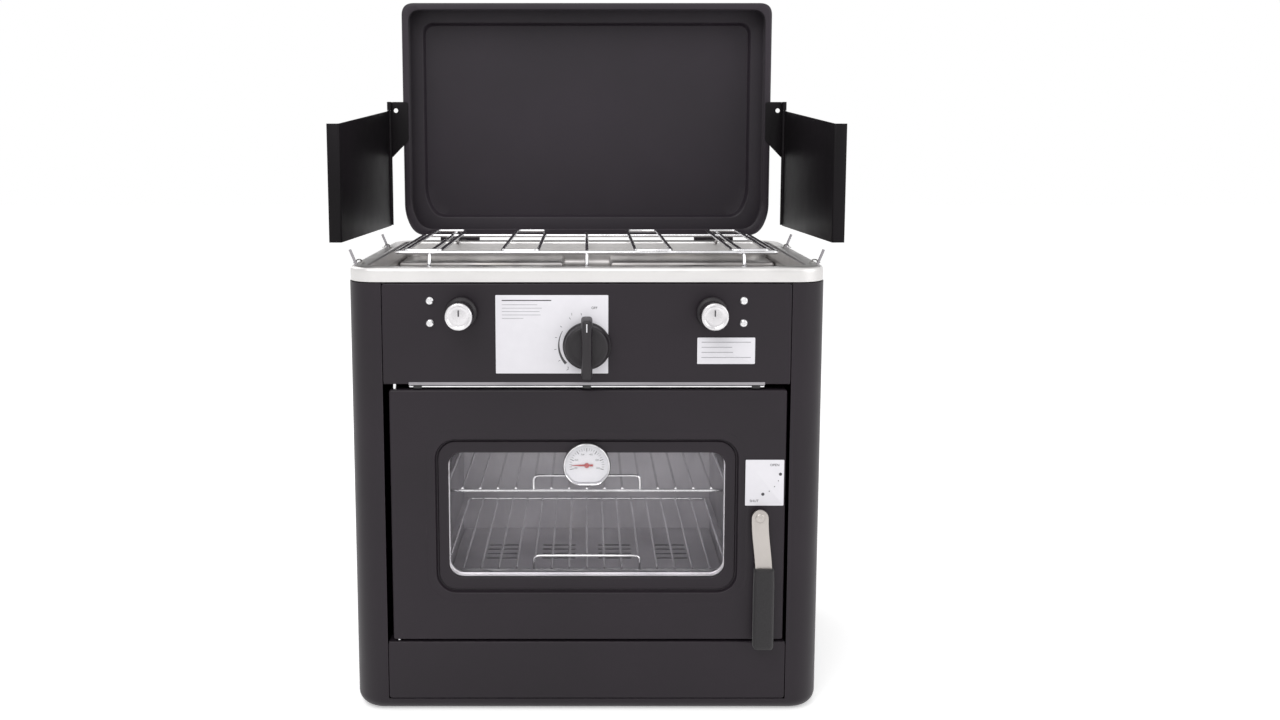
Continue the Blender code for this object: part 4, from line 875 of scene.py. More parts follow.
@dataclass
class Cabinet:
    """The folded sheet body with its front sheets, rod, screws and door pins."""

    finishes: Finishes
    sheet: float = 1.2 * MM
    corner: float = 28 * MM
    foot: float = 12 * MM
    fold: float = 1.6 * MM
    corner_radius: float = 1.2 * MM
    post: float = 33.5 * MM
    rod_radius: float = 1.55 * MM
    rail_bottom: float = 12.5 * MM
    vent: tuple[float, float, float] = (38 * MM, 5 * MM, 13 * MM)
    vent_rows: int = 4

    def build(self) -> None:
        """Build every piece of the cabinet."""
        self.shell()
        self.front_sheet("control_panel", up=False)
        self.front_sheet("lower_rail", up=True)
        self.rod()
        self.screws()
        self.pins()

    def shell(self) -> None:
        """Floor, sides, back and front posts in one folded sheet."""
        low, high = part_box("cabinet_shell")

        def outline(inset: float) -> list[Flat]:
            """The body's plan, smaller all round."""
            return round_box(low.x + inset, high.x - inset, low.y + inset, high.y - inset,
                             self.corner - inset, 12)

        rings = [(outline(0.0), high.z), (outline(0.0), high.z / 2)]
        rings += [(outline(inset), depth) for inset, depth in quarter(self.foot, 7)]
        bm = pressed(rings, "z", -1, self.sheet)
        opening = high.x - self.post
        over = 10 * MM
        tools = [box((-opening, low.y - over, self.rail_bottom), (opening, low.y + 2 * MM, high.z + over))]
        half, tall, pitch = self.vent
        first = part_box("oven_liner")[1].z
        for row in range(self.vent_rows):
            z = first + row * pitch
            slot = round_box(-half, half, z, z + tall, tall * 0.49, 4)
            tools.append(prism(slot, "y", high.y - over, high.y + over))
        piece("cabinet_shell_body", carve(bm, *tools), "cabinet", Slot.PAINT, self.finishes.paint,
              "cabinet_shell")

    def front_sheet(self, node: str, up: bool) -> None:
        """A sheet between the posts with rolled edges and one flange turned in.

        Args:
            node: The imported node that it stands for.
            up: Whether the flange is at its top.
        """
        low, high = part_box(node)
        back = low.y + self.sheet

        def outline(inset: float, radius: float) -> list[Flat]:
            """The sheet's outline, smaller all round."""
            return round_box(low.x + inset, high.x - inset, low.z + inset, high.z - inset, radius, 4)

        fold, soft = quarter(self.sheet * 0.95), self.corner_radius
        rings = [(outline(i, soft + self.fold - i), low.y + d) for i, d in fold]
        rings = [(rings[-1][0], back)] + rings + [(outline(3 * MM, soft), low.y)]
        face = pressed(rings, "y", -1)
        level = high.z - self.sheet if up else low.z
        flange = box((low.x + 0.5 * MM, low.y + 0.5 * MM, level),
                     (high.x - 0.5 * MM, high.y, level + self.sheet), 0.4 * MM)
        piece(node + "_sheet", joined(face, flange), "cabinet", Slot.PAINT, self.finishes.paint, node)

    def rod(self) -> None:
        """The bright rod above the door, with the dark clips that hold it."""
        low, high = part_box("panel_rod")
        middle, radius = (low.y + high.y) / 2, self.rod_radius
        z = low.z + radius
        profile = rounded([(0.0, low.x), (radius, low.x), (radius, high.x), (0.0, high.x)], radius * 0.8)
        piece("panel_rod_bar", lathe(profile, "x", (middle, z), 20), "cabinet", Slot.CHROME,
              self.finishes.chrome, "panel_rod")
        half = 4 * MM
        clips = [box((x - half, middle - radius * 1.5, z - radius * 1.25),
                     (x + half, middle + radius * 1.5, high.z),
                     0.6 * MM, 3) for x in (low.x + 2 * half, 0.0, high.x - 2 * half)]
        piece("panel_rod_clips", joined(*clips), "cabinet", Slot.PAINT, self.finishes.clip)
        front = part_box("control_panel")[0].y
        hem = box((low.x, front - 0.5 * MM, high.z - 0.4 * MM), (high.x, front + 0.2 * MM, high.z + 2.4 * MM),
                  0.3 * MM)
        piece("control_panel_hem", hem, "cabinet", Slot.STAINLESS, self.finishes.hem)

    def screws(self) -> None:
        """Cross-head screws beside the side knobs."""
        heads = []
        nodes = [f"panel_screw_{count}" for count in range(1, 5)]
        for node in nodes:
            low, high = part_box(node)
            x, z = (low.x + high.x) / 2, (low.z + high.z) / 2
            radius, back = (high.x - low.x) / 2, low.y + 2.2 * MM
            corners = [(0.0, low.y), (radius * 0.7, low.y + 0.1 * MM), (radius, back - 0.6 * MM),
                       (radius, back), (radius / 2, back), (radius / 2, high.y), (0.0, high.y)]
            profile = rounded(corners, 0.6 * MM)
            head = lathe(profile, "y", (x, z), 28)
            arm, slot, deep = radius * 0.62, radius * 0.16, low.y + 0.9 * MM
            cross = [box((x - arm, low.y - MM, z - slot), (x + arm, deep, z + slot)),
                     box((x - slot, low.y - MM, z - arm), (x + slot, deep, z + arm))]
            heads.append(carve(head, *cross))
        piece("panel_screw_heads", joined(*heads), "cabinet", Slot.CHROME, self.finishes.chrome, *nodes)

    def pins(self) -> None:
        """The two pins that the door turns on, with domed heads."""
        for node in ("door_pin_top", "door_pin_bottom"):
            low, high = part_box(node)
            x, y = (low.x + high.x) / 2, (low.y + high.y) / 2
            wide = (high.x - low.x) / 2
            thin = wide * 2 / 3
            head = 2.4 * MM
            profile = [(0.0, low.z), (thin, low.z), (thin, high.z - head), (wide, high.z - head),
                       (wide, high.z), (0.0, high.z)]
            if node == "door_pin_bottom":
                profile = [(r, low.z + high.z - z) for r, z in reversed(profile)]
            piece(node + "_turned", lathe(rounded(profile, 0.5 * MM), "z", (x, y), 24), "cabinet",
                  Slot.CHROME, self.finishes.chrome, node)


@dataclass
class HobTray:
    """The pressed steel drip tray with its rolled rim, back shelves and stay bridges."""

    finishes: Finishes
    sheet: float = 1.2 * MM
    corner: float = 27.5 * MM
    rim: float = 16 * MM
    bowl_corner: float = 18 * MM
    depth: float = 28 * MM
    outer_fold: float = 3.5 * MM
    skirt: float = 13.4 * MM
    inner_fold: float = 3.0 * MM
    floor_fold: float = 7.0 * MM
    shelf: tuple[float, float, float] = (26 * MM, 70 * MM, 11 * MM)
    stay_radius: float = 1.3 * MM
    strap_half: float = 2.8 * MM
    strap_rise: float = 3.3 * MM
    strap_end: float = 9.3 * MM
    strap_width: float = 6.0

    def build(self) -> None:
        """Build the tray and the bridges on its rim."""
        low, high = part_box("hob_tray")
        top = high.z

        def outline(inset: float) -> list[Flat]:
            """The tray's plan, smaller all round.

            Args:
                inset: How much smaller it is all round.

            Returns:
                The points, in order.
            """
            share = min(inset / self.rim, 1.0)
            radius = self.corner + (self.bowl_corner - self.corner) * share - max(inset - self.rim, 0.0)
            return round_box(low.x + inset, high.x - inset, low.y + inset, high.y - inset, radius, 10)

        floor = top - self.depth
        steps = [(0.0, top - self.skirt), (0.0, top - 5 * MM)]
        steps += [(i, top - d) for i, d in quarter(self.outer_fold)]
        steps += [(self.rim - self.inner_fold - MM, top)]
        steps += [(self.rim - i, top - d) for i, d in reversed(quarter(self.inner_fold))]
        steps += [(self.rim + i, floor + d) for i, d in quarter(self.floor_fold)]
        steps += [(self.rim + self.floor_fold + 4 * MM, floor)]
        bowl = pressed([(outline(inset), z) for inset, z in steps], "z", 1, self.sheet)
        inside = self.rim + 0.4 * MM
        near, deep, rise = self.shelf
        for side in (-1, 1):
            a, b = sorted((side * near, side * (high.x - inside)))
            pad = box((a, high.y - inside - deep, floor - 0.5 * MM), (b, high.y - inside, floor + rise),
                      3.2 * MM, 4)
            bowl = joined(bowl, pad)
        # Painted highlight: the rim is painted lighter than the bowl.
        piece("hob_tray_pressing", bowl, "cabinet", Slot.STAINLESS, self.finishes.tray, "hob_tray")
        self.bridges(top)

    def bridges(self, top: float) -> None:
        """The small bridges that hold the stay wires on the rim.

        Args:
            top: The height of the tray's rim.
        """
        clips = []
        for node in ("wing_stay_left", "wing_stay_right"):
            low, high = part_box(node)
            x = low.x + self.stay_radius if low.x > 0 else high.x - self.stay_radius
            for y in (low.y + self.strap_end, high.y - self.strap_end):
                half = self.strap_half
                arch = [(x - half - 2 * MM, y, top + 0.3 * MM), (x - half, y, top + 0.6 * MM),
                        (x - half * 0.7, y, top + self.strap_rise),
                        (x + half * 0.7, y, top + self.strap_rise),
                        (x + half, y, top + 0.6 * MM), (x + half + 2 * MM, y, top + 0.3 * MM)]
                strap = wires([(arch, False)], 0.55 * MM, 1.2 * MM)
                shift = Matrix.Translation((0, y, 0))
                widen = shift @ Matrix.Diagonal((1, self.strap_width, 1, 1)) @ shift.inverted()
                clips.append(moved(strap, widen))
        piece("stay_bridges", joined(*clips), "cabinet", Slot.STAINLESS, self.finishes.bright)


@dataclass
class Oven:
    """The steel cavity behind the window: liner, slotted floor, runners, wire racks, seal and burner tube."""

    finishes: Finishes
    sheet: float = 1.2 * MM
    frame_side: float = 19 * MM
    frame_top: float = 9.5 * MM
    frame_bottom: float = 3 * MM
    corner: float = 4 * MM
    floor_fold: float = 3 * MM
    slot: tuple[float, float, float] = (38 * MM, 5 * MM, 13 * MM)
    slot_columns: tuple[float, ...] = (-0.63, -0.21, 0.21, 0.63)
    slot_groups: tuple[float, ...] = (-0.39, 0.36)
    slot_rows: int = 4
    rack_wire: float = 3.0 * MM
    rack_bars: int = 15
    handle_half: float = 52 * MM
    ledge: float = 7 * MM

    def build(self) -> None:
        """Build every piece of the oven."""
        self.liner()
        self.floor()
        for count in (1, 2):
            self.rack(f"oven_rack_{count}")
        self.runner("left", -1)
        self.runner("right", 1)
        self.seal()
        # Painted shade: the burner tube lies below the floor plate, where its steel is painted dark.
        dress(["oven_burner"], self.finishes.cavity)
        dress(["oven_feed_pipe"], self.finishes.brass)

    def liner(self) -> None:
        """The deep-drawn box with the flat frame round its mouth."""
        low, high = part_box("oven_liner")
        x0, x1 = low.x + self.frame_side, high.x - self.frame_side
        z0, z1 = low.z + self.frame_bottom, high.z - self.frame_top

        def outline(grow: float) -> list[Flat]:
            """The mouth's outline, larger all round."""
            return round_box(x0 - grow, x1 + grow, z0 - grow, z1 + grow, self.corner + max(grow, -MM), 6)

        face = low.y + self.sheet
        rings = [(round_box(low.x, high.x, low.z, high.z, self.corner, 6), face)]
        rings += [(outline(i), face + d) for i, d in reversed(quarter(2.5 * MM, 4))]
        rings += [(outline(0.0), face + 10 * MM), (outline(0.0), high.y - 10 * MM)]
        rings += [(outline(-i), high.y - d) for i, d in quarter(2.5 * MM, 4)]
        # Painted light: a lighter copy of the liner steel, with painted shade below the floor plate.
        piece("oven_liner_box", pressed(rings, "y", 1, self.sheet), "cabinet", Slot.STAINLESS,
              self.finishes.cavity, "oven_liner")

    def floor(self) -> None:
        """The plate over the burner tube, with its rows of slots and turned-down sides."""
        low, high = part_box("oven_floor")
        middle = (low.x + high.x) / 2
        section = rounded([(low.x, low.z), (low.x, high.z), (high.x, high.z), (high.x, low.z)],
                          self.floor_fold)
        inner = rounded([(high.x - self.sheet, low.z), (high.x - self.sheet, high.z - self.sheet),
                         (low.x + self.sheet, high.z - self.sheet), (low.x + self.sheet, low.z)],
                        self.floor_fold - self.sheet)
        plate = prism(section + inner, "y", low.y, high.y)
        long, wide, pitch = self.slot
        liner_low, liner_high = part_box("oven_liner")
        half = liner_high.x - self.frame_side
        depth = (liner_high.y - liner_low.y) / 2
        centre = (liner_high.y + liner_low.y) / 2
        holes = []
        for column in self.slot_columns:
            x = middle + column * half
            for group in self.slot_groups:
                for row in range(self.slot_rows):
                    y = centre + group * depth + (row - (self.slot_rows - 1) / 2) * pitch
                    outline = round_box(x - long / 2, x + long / 2, y - wide / 2, y + wide / 2, wide * 0.49,
                                        5)
                    holes.append(prism(outline, "z", high.z - 3 * self.sheet, high.z + self.sheet))
        piece("oven_floor_plate", carve(plate, joined(*holes)), "cabinet", Slot.STAINLESS,
              self.finishes.liner, "oven_floor")

    def rack(self, node: str) -> None:
        """A chromed wire rack with a raised handle at its front.

        Args:
            node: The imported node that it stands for.
        """
        low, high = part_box(node)
        radius = self.rack_wire / 2
        x0, x1, y0, y1 = low.x + radius, high.x - radius, low.y + radius, high.y - radius
        z = low.z + radius
        frame_wire = wires([([(x0, y0, z), (x1, y0, z), (x1, y1, z), (x0, y1, z)], True)], radius, 6 * MM)
        thin = radius * 0.8
        pitch = (x1 - x0) / (self.rack_bars + 1)
        over = z + radius * 1.2
        bars = [([(x0 + bar * pitch, y0 - thin / 2, over), (x0 + bar * pitch, y1 + thin / 2, over)], False)
                for bar in range(1, self.rack_bars + 1)]
        top = high.z - thin
        grip = self.handle_half
        bars.append(([(-grip, y0, z), (-grip, y0, top), (grip, y0, top), (grip, y0, z)], False))
        whole = joined(frame_wire, wires(bars[:-1], thin), wires(bars[-1:], thin, 6 * MM))
        piece(node + "_wires", whole, "cabinet", Slot.CHROME, self.finishes.chrome, node)

    def runner(self, side: str, sign: int) -> None:
        """The ladder on one side of the oven, with a rolled ledge under each rack.

        Args:
            side: Which side it is on, "left" or "right".
            sign: 1 on the right and -1 on the left.
        """
        low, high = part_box("rack_runner_" + side)
        outer = high.x if sign > 0 else low.x
        inner = outer - sign * self.sheet
        plate = box((min(outer, inner), low.y, low.z), (max(outer, inner), high.y, high.z), 0.4 * MM)
        pieces = [plate]
        for node in ("oven_rack_1", "oven_rack_2"):
            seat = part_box(node)[0].z - 0.3 * MM
            tip = outer - sign * (self.sheet + self.ledge)
            ledge = box((min(outer, tip), low.y, seat - self.sheet), (max(outer, tip), high.y, seat),
                        0.5 * MM)
            lip = box((min(tip, tip + sign * self.sheet), low.y, seat - 2.6 * self.sheet),
                      (max(tip, tip + sign * self.sheet), high.y, seat - 0.2 * self.sheet), 0.5 * MM)
            pieces += [ledge, lip]
        piece(f"rack_runner_{side}_ledges", joined(*pieces), "cabinet", Slot.STAINLESS, self.finishes.liner,
              "rack_runner_" + side)

    def seal(self) -> None:
        """The braided rope between the oven's mouth and the door."""
        low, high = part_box("oven_seal")
        radius = (high.y - low.y) / 2
        y = (low.y + high.y) / 2
        x0, x1, z0, z1 = low.x + radius, high.x - radius, low.z + radius, high.z - radius
        rope = wires([([(x0, y, z0), (x1, y, z0), (x1, y, z1), (x0, y, z1)], True)], radius, 9 * MM, 4)
        piece("oven_seal_rope", rope, "cabinet", Slot.ROPE, self.finishes.rope, "oven_seal")


@dataclass
class Burners:
    """The cast burners with their slotted rims, enamelled caps, mixer tubes and gas valves."""

    finishes: Finishes
    head_height: float = 10.5 * MM
    neck: float = 26.5 * MM
    neck_drop: float = 14 * MM
    flare: float = 2.5 * MM
    ports: int = 30
    port: tuple[float, float, float] = (2.2 * MM, 8 * MM, 4.4 * MM)
    mixer: float = 6.5 * MM
    mixer_drop: float = 10.5 * MM

    def build(self) -> None:
        """Build both burners and dress the gas train."""
        for side in ("left", "right"):
            self.head(side)
            self.cap(side)
        dress(["gas_valve_left", "gas_valve_oven", "gas_valve_right", "gas_manifold"], self.finishes.brass)
        self.inlet()

    def head(self, side: str) -> None:
        """One casting: head, ports, neck and mixer tube.

        Args:
            side: Which side it is on, "left" or "right".
        """
        low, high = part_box("burner_" + side)
        wide = (high.x - low.x) / 2
        x = (low.x + high.x) / 2
        top, base = high.z, high.z - self.head_height
        well = wide - self.port[1] - 2 * MM
        profile = [(0.0, base - self.neck_drop), (self.neck, base - self.neck_drop), (self.neck, base),
                   (wide - self.flare, base + 0.2 * MM), (wide, base + self.flare), (wide - 0.8 * MM, top),
                   (well, top), (well, base + 2 * MM), (0.0, base + 2 * MM)]
        casting = lathe(rounded(profile, 0.9 * MM, 3), "z", (x, 0.0), 90)
        width, reach, deep = self.port
        slots = []
        for port in range(self.ports):
            slot = box((wide - reach, -width / 2, top - deep), (wide + MM, width / 2, top + MM))
            turn = Matrix.Translation((x, 0, 0)) @ Matrix.Rotation(math.tau * port / self.ports, 4, "Z")
            slots.append(moved(slot, turn))
        casting = carve(casting, joined(*slots))
        front, axis = low.y, base - self.mixer_drop
        tube = lathe([(self.mixer - 1.2 * MM, -self.neck), (self.mixer - 1.2 * MM, front + 4 * MM),
                      (self.mixer, front), (self.mixer + MM, front), (self.mixer, front + 6 * MM),
                      (self.mixer, -self.neck), (self.mixer - 1.2 * MM, -self.neck)], "y", (x, axis), 32)
        piece(f"burner_{side}_casting", joined(casting, tube), "cabinet", Slot.CASTING, self.finishes.casting,
              "burner_" + side)

    def cap(self, side: str) -> None:
        """The loose cap: a shallow enamelled dish with a rolled rim.

        Args:
            side: Which side it is on, "left" or "right".
        """
        low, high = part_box("burner_cap_" + side)
        wide = (high.x - low.x) / 2
        x = (low.x + high.x) / 2
        profile = [(0.0, low.z), (wide - 3 * MM, low.z), (wide, low.z), (wide, low.z + 1.8 * MM),
                   (wide - 3 * MM, high.z - 0.9 * MM), (wide - 8 * MM, high.z - 0.3 * MM),
                   (wide - 11 * MM, high.z - 0.9 * MM), (10 * MM, high.z - 0.6 * MM), (0.0, high.z)]
        piece(f"burner_cap_{side}_dish", lathe(rounded(profile, 1.4 * MM), "z", (x, 0.0), 72), "cabinet",
              Slot.ENAMEL, self.finishes.enamel, "burner_cap_" + side)

    def inlet(self) -> None:
        """The threaded brass stub with its hexagon at the back."""
        low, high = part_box("gas_inlet")
        centre = ((low.x + high.x) / 2, (low.z + high.z) / 2)
        wide = (high.x - low.x) / 2
        neck, bore = wide * 2 / 3, 4 * MM
        face = high.y - 16 * MM
        thread = []
        turns = 12
        for turn in range(turns):
            y = face + (high.y - face) * turn / turns
            thread += [(neck - 0.5 * MM, y + 0.1 * MM), (neck, y + 0.6 * MM)]
        profile = [(bore, face), (bore, high.y), (neck - 0.6 * MM, high.y)] + thread[::-1]
        profile += [(neck - MM, face), (neck - MM, low.y), (bore - MM, low.y), (bore - MM, face),
                    (bore, face)]
        nut = prism(circle(centre, wide, 6), "y", face - 8 * MM, face - 0.2 * MM, 0.7 * MM)
        piece("gas_inlet_stub", joined(lathe(profile, "y", centre, 32), nut), "cabinet", Slot.BRASS,
              self.finishes.brass, "gas_inlet")


@dataclass
class Grate:
    """The chromed wire pan support: a frame, three legs and four loops."""

    finishes: Finishes
    wire: float = 3.6 * MM
    cross_gap: float = 70.5 * MM
    half_depth: float = 142.5 * MM
    loop_shares: tuple[float, ...] = (0.35, 0.86)
    loop_width: float = 34 * MM
    rear_gap: float = 26.5 * MM
    front_gap: float = 30.5 * MM
    leg_share: float = 0.825
    bend: float = 4.5 * MM

    def build(self) -> None:
        """Build the grate."""
        low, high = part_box("pan_grate")
        radius = self.wire / 2
        half = high.x - radius
        front, rear = self.front_gap - self.half_depth, self.half_depth - self.rear_gap
        top = high.z - radius
        under, foot = top - radius, low.z + radius
        cross = self.half_depth - self.cross_gap
        frame_wire = [((-half, front, under), (half, front, under), (half, cross, under),
                       (-half, cross, under))]
        legs = []
        knee = self.wire * 1.25
        for x in (-half * self.leg_share, 0.0, half * self.leg_share):
            legs.append([(x, low.y + radius, foot), (x, front - knee, foot), (x, front, under),
                         (x, rear - knee, under), (x, rear, foot), (x, high.y - radius, foot)])
        loops = []
        for middle in [side * half * share for side in (-1, 1) for share in self.loop_shares]:
            x0, x1 = middle - self.loop_width / 2, middle + self.loop_width / 2
            loops.append([(x0, front, top), (x1, front, top), (x1, rear, top), (x0, rear, top)])
        whole = wires([(path, True) for path in frame_wire + loops] + [(path, False) for path in legs],
                      radius, self.bend, 4)
        piece("pan_grate_wires", whole, "grate", Slot.CHROME, self.finishes.chrome, "pan_grate")


def swell(steps: int = 8) -> list[Flat]:
    """Shares of width left and depth reached along a soft S-shaped press line."""
    return [(1 - step / steps, (1 - math.cos(math.pi * step / steps)) / 2) for step in range(steps + 1)]


@dataclass
class Door:
    """The oven door: pressed skin, window, seal and steel inner sheet."""

    finishes: Finishes
    sheet: float = 1.2 * MM
    corner: float = 2.5 * MM
    fold: float = 2.2 * MM
    bezel: tuple[float, float, float, float] = (142.5 * MM, 120 * MM, 268 * MM, 18 * MM)
    window: tuple[float, float, float, float] = (131.5 * MM, 133 * MM, 256 * MM, 13 * MM)
    window_fold: float = 1.4 * MM
    collar_fold: float = 2.0 * MM
    step: float = 3.0 * MM
    brow: float = 0.7 * MM
    brow_out: float = 8.0 * MM
    # The pressed groove round the window: millimetres outwards from the frame, and deep
    groove: tuple[Flat, ...] = ((1.7, 0.8), (1.2, 1.2), (0.9, 2.0), (0.6, 4.0), (0.3, 4.6), (-0.2, 4.8),
                                (-0.7, 4.8), (-1.1, 4.5), (-1.5, 3.7), (-1.9, 3.1), (-2.5, 3.0))

    def build(self) -> None:
        """Build every piece of the door."""
        self.skin()
        self.glass()
        self.inner_sheet()
        dress(["glass_seal"], self.finishes.silicone)

    def around(self, form: tuple[float, float, float, float], grow: float) -> list[Flat]:
        """The outline of the sunk frame or the window, larger all round.

        Args:
            form: Its half width, lower side, upper side and corner radius.
            grow: How much larger it is all round.

        Returns:
            The points of the outline.
        """
        half, low, high, radius = form
        return round_box(-half - grow, half + grow, low - grow, high + grow, max(radius + grow, MM), 10)

    def skin(self) -> None:
        """The outer skin, pressed in two soft steps round the window."""
        low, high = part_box("door_panel")

        def outline(inset: float) -> list[Flat]:
            """The door's outline, smaller all round."""
            return round_box(low.x + inset, high.x - inset, low.z + inset, high.z - inset,
                             max(self.corner - inset, 0.4 * MM), 10)

        front = low.y
        rings = [(outline(0.0), high.y)] + [(outline(i), front + d) for i, d in quarter(self.fold, 6)]
        rings += [(self.around(self.bezel, self.brow_out + 3 * MM * left), front + self.brow * down)
                  for left, down in swell(5)]
        rings += [(self.around(self.bezel, grow * MM), front + depth * MM) for grow, depth in self.groove]
        sunk, lip = front + self.step, self.window_fold
        rings += [(self.around(self.window, grow), sunk + lip - d) for d, grow in reversed(quarter(lip))]
        rings += [(self.around(self.window, 0.0), sunk + 2.6 * MM)]
        piece("door_skin", pressed(rings, "y", -1, self.sheet, capped=False), "door", Slot.PAINT,
              self.finishes.paint, "door_panel")

    def glass(self) -> None:
        """The window pane."""
        low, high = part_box("door_glass")
        outline = round_box(low.x, high.x, low.z, high.z, 20 * MM, 10)
        piece("door_glass_pane", prism(outline, "y", low.y, high.y, 0.6 * MM), "door", Slot.GLASS,
              self.finishes.glass, "door_glass")

    def inner_sheet(self) -> None:
        """The steel sheet on the oven's side, with a soft border and the collar round the glass."""
        low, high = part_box("door_liner")
        back = high.y
        grow = 5 * MM

        def outline(inset: float) -> list[Flat]:
            """The sheet's outline, smaller all round."""
            return round_box(low.x + inset, high.x - inset, low.z + inset, high.z - inset, 3 * MM, 10)

        rings = [(outline(0.0), back - 0.5 * MM), (outline(0.4 * MM), back)]
        rings += [(outline(13 * MM + 3 * MM * (1 - left)), back - 0.9 * MM * down) for left, down in swell(5)]
        rings += [(self.around(self.window, grow + 8 * MM + 3 * MM * left), back - 0.9 * MM * (1 - down))
                  for left, down in swell(5)]
        collar = self.collar_fold
        rings += [(self.around(self.window, grow), back - collar + d)
                  for d, grow in reversed(quarter(collar))]
        rings += [(self.around(self.window, 0.0), low.y)]
        piece("door_inner_sheet", pressed(rings, "y", 1, self.sheet, capped=False), "door", Slot.STAINLESS,
              self.finishes.liner, "door_liner")


@dataclass
class Thermometer:
    """The dial thermometer on the window: chromed case, white dial, marks, lens and red needle."""

    finishes: Finishes
    radius: float = 22.5 * MM
    flat: float = 18.5 * MM
    corner: float = 7.0 * MM
    lip: float = 1.8 * MM
    mark: tuple[float, float] = (14.2 * MM, 16.6 * MM)
    mark_count: int = 25
    sweep: float = 210.0
    numbers: tuple[str, ...] = ("100", "200", "300", "400", "500", "600")
    number_size: float = 3.6 * MM
    number_ring: float = 11.0 * MM

    def build(self) -> None:
        """Build every piece of the thermometer."""
        low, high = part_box("thermometer_case")
        self.case(low.y, high.y)
        self.dial()
        self.needle()

    @property
    def centre(self) -> Flat:
        """The dial's middle, across and up."""
        low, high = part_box("thermometer_case")
        return ((low.x + high.x) / 2, high.z - self.radius)

    def outline(self, inset: float) -> list[Flat]:
        """The case's outline: a circle cut flat below, with soft corners.

        Args:
            inset: How much smaller it is all round.

        Returns:
            The points of the outline.
        """
        radius, flat = self.radius - inset, self.flat - inset
        start = -math.asin(flat / radius)
        end = math.pi - start
        steps, trim = 56, 6  # how many points the circle has, and how many each corner takes
        arc = [(radius * math.cos(start + (end - start) * i / steps),
                radius * math.sin(start + (end - start) * i / steps))
               for i in range(steps + 1)]
        x, z = self.centre
        foot = (0.0, -flat)
        ring = arc[trim:-trim]
        left = rounded([ring[-1], arc[-1], foot], self.corner, 8)
        right = rounded([foot, arc[0], ring[0]], self.corner, 8)
        return [(x + u, z + v) for u, v in ring + left[1:-1] + [foot] + right[1:-1]]

    def case(self, front: float, back: float) -> None:
        """The chromed case with a rolled rim and a well for the dial.

        Args:
            front: Its front face.
            back: Its back face.
        """
        roll = [(0.0, back), (0.0, front + 1.6 * MM), (0.35 * MM, front + 0.6 * MM), (1.0 * MM, front),
                (self.lip - 0.3 * MM, front + 0.3 * MM), (self.lip, front + 1.2 * MM),
                (self.lip, back - 1.4 * MM)]
        rings = [(self.outline(inset), y) for inset, y in roll]
        piece("thermometer_case_shell", pressed(rings, "y", -1), "door", Slot.CHROME, self.finishes.chrome,
              "thermometer_case")
        y = front + 1.1 * MM
        lens = prism(self.outline(self.lip + 0.1 * MM), "y", y, y + 0.6 * MM)
        piece("thermometer_lens", lens, "door", Slot.GLASS, self.finishes.lens)

    def dial(self) -> None:
        """The white dial card with its printed scale."""
        low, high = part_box("thermometer_dial")
        inset = self.lip + 0.3 * MM
        piece("thermometer_card", prism(self.outline(inset), "y", low.y, high.y), "door", Slot.PLATE,
              self.finishes.white, "thermometer_dial")
        x, z = self.centre
        near, far = self.mark
        marks = []
        half = math.radians(self.sweep) / 2
        for count in range(self.mark_count):
            angle = half - 2 * half * count / (self.mark_count - 1)
            wide, start = (0.28 * MM, near - 1.2 * MM) if count % 4 == 0 else (0.14 * MM, near)
            tick = box((x - wide, low.y - 0.12 * MM, z + start), (x + wide, low.y + 0.05 * MM, z + far))
            marks.append(moved(tick, about((x, 0.0, z), "y", angle)))
        for count, text in enumerate(self.numbers):
            angle = half - 2 * half * count / (len(self.numbers) - 1)
            place = (x + self.number_ring * math.sin(-angle), z + self.number_ring * math.cos(angle))
            marks.append(lettering(text, self.number_size * 0.62, place, low.y - 0.12 * MM))
        piece("thermometer_scale", joined(*marks), "door", Slot.PLASTIC, self.finishes.ink)

    def needle(self) -> None:
        """The red needle with its hub."""
        low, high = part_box("thermometer_needle")
        x, z = self.centre
        y0, y1 = low.y, high.y
        middle = y1 - 0.8 * MM
        blade = prism([(low.x, z), (x - 6 * MM, z + 0.75 * MM), (high.x, z + 1.0 * MM),
                       (high.x, z - 1.0 * MM), (x - 6 * MM, z - 0.75 * MM)], "y", middle, y1, 0.15 * MM)
        hub = lathe(rounded([(0.0, y1), (2.4 * MM, y1), (2.4 * MM, y0 + 0.4 * MM), (0.0, y0)], 0.5 * MM), "y",
                    self.centre, 24)
        piece("thermometer_needle_blade", joined(blade, hub), "needle", Slot.RED, self.finishes.red,
              "thermometer_needle")


def lettering(text: str, size: float, centre: Flat, y: float) -> BMesh:
    """Flat letters that face the front, as a thin mesh.

    Args:
        text: What they say.
        size: Their height.
        centre: The middle of the word, across and up.
        y: Their front face.

    Returns:
        The new mesh.
    """
    curve = bpy.data.curves.new("letters", "FONT")
    curve.body = text
    curve.size = size
    curve.align_x = "CENTER"
    curve.align_y = "CENTER"
    curve.extrude = 0.06 * MM
    curve.resolution_u = 3
    holder = bpy.data.objects.new("letters", curve)
    bpy.context.scene.collection.objects.link(holder)
    bm = evaluated(holder)
    bmesh.ops.remove_doubles(bm, verts=bm.verts, dist=MM / 200)
    upright = Matrix.Translation((centre[0], y + 0.06 * MM, centre[1])) @ Matrix.Rotation(math.pi / 2, 4, "X")
    return moved(bm, upright)


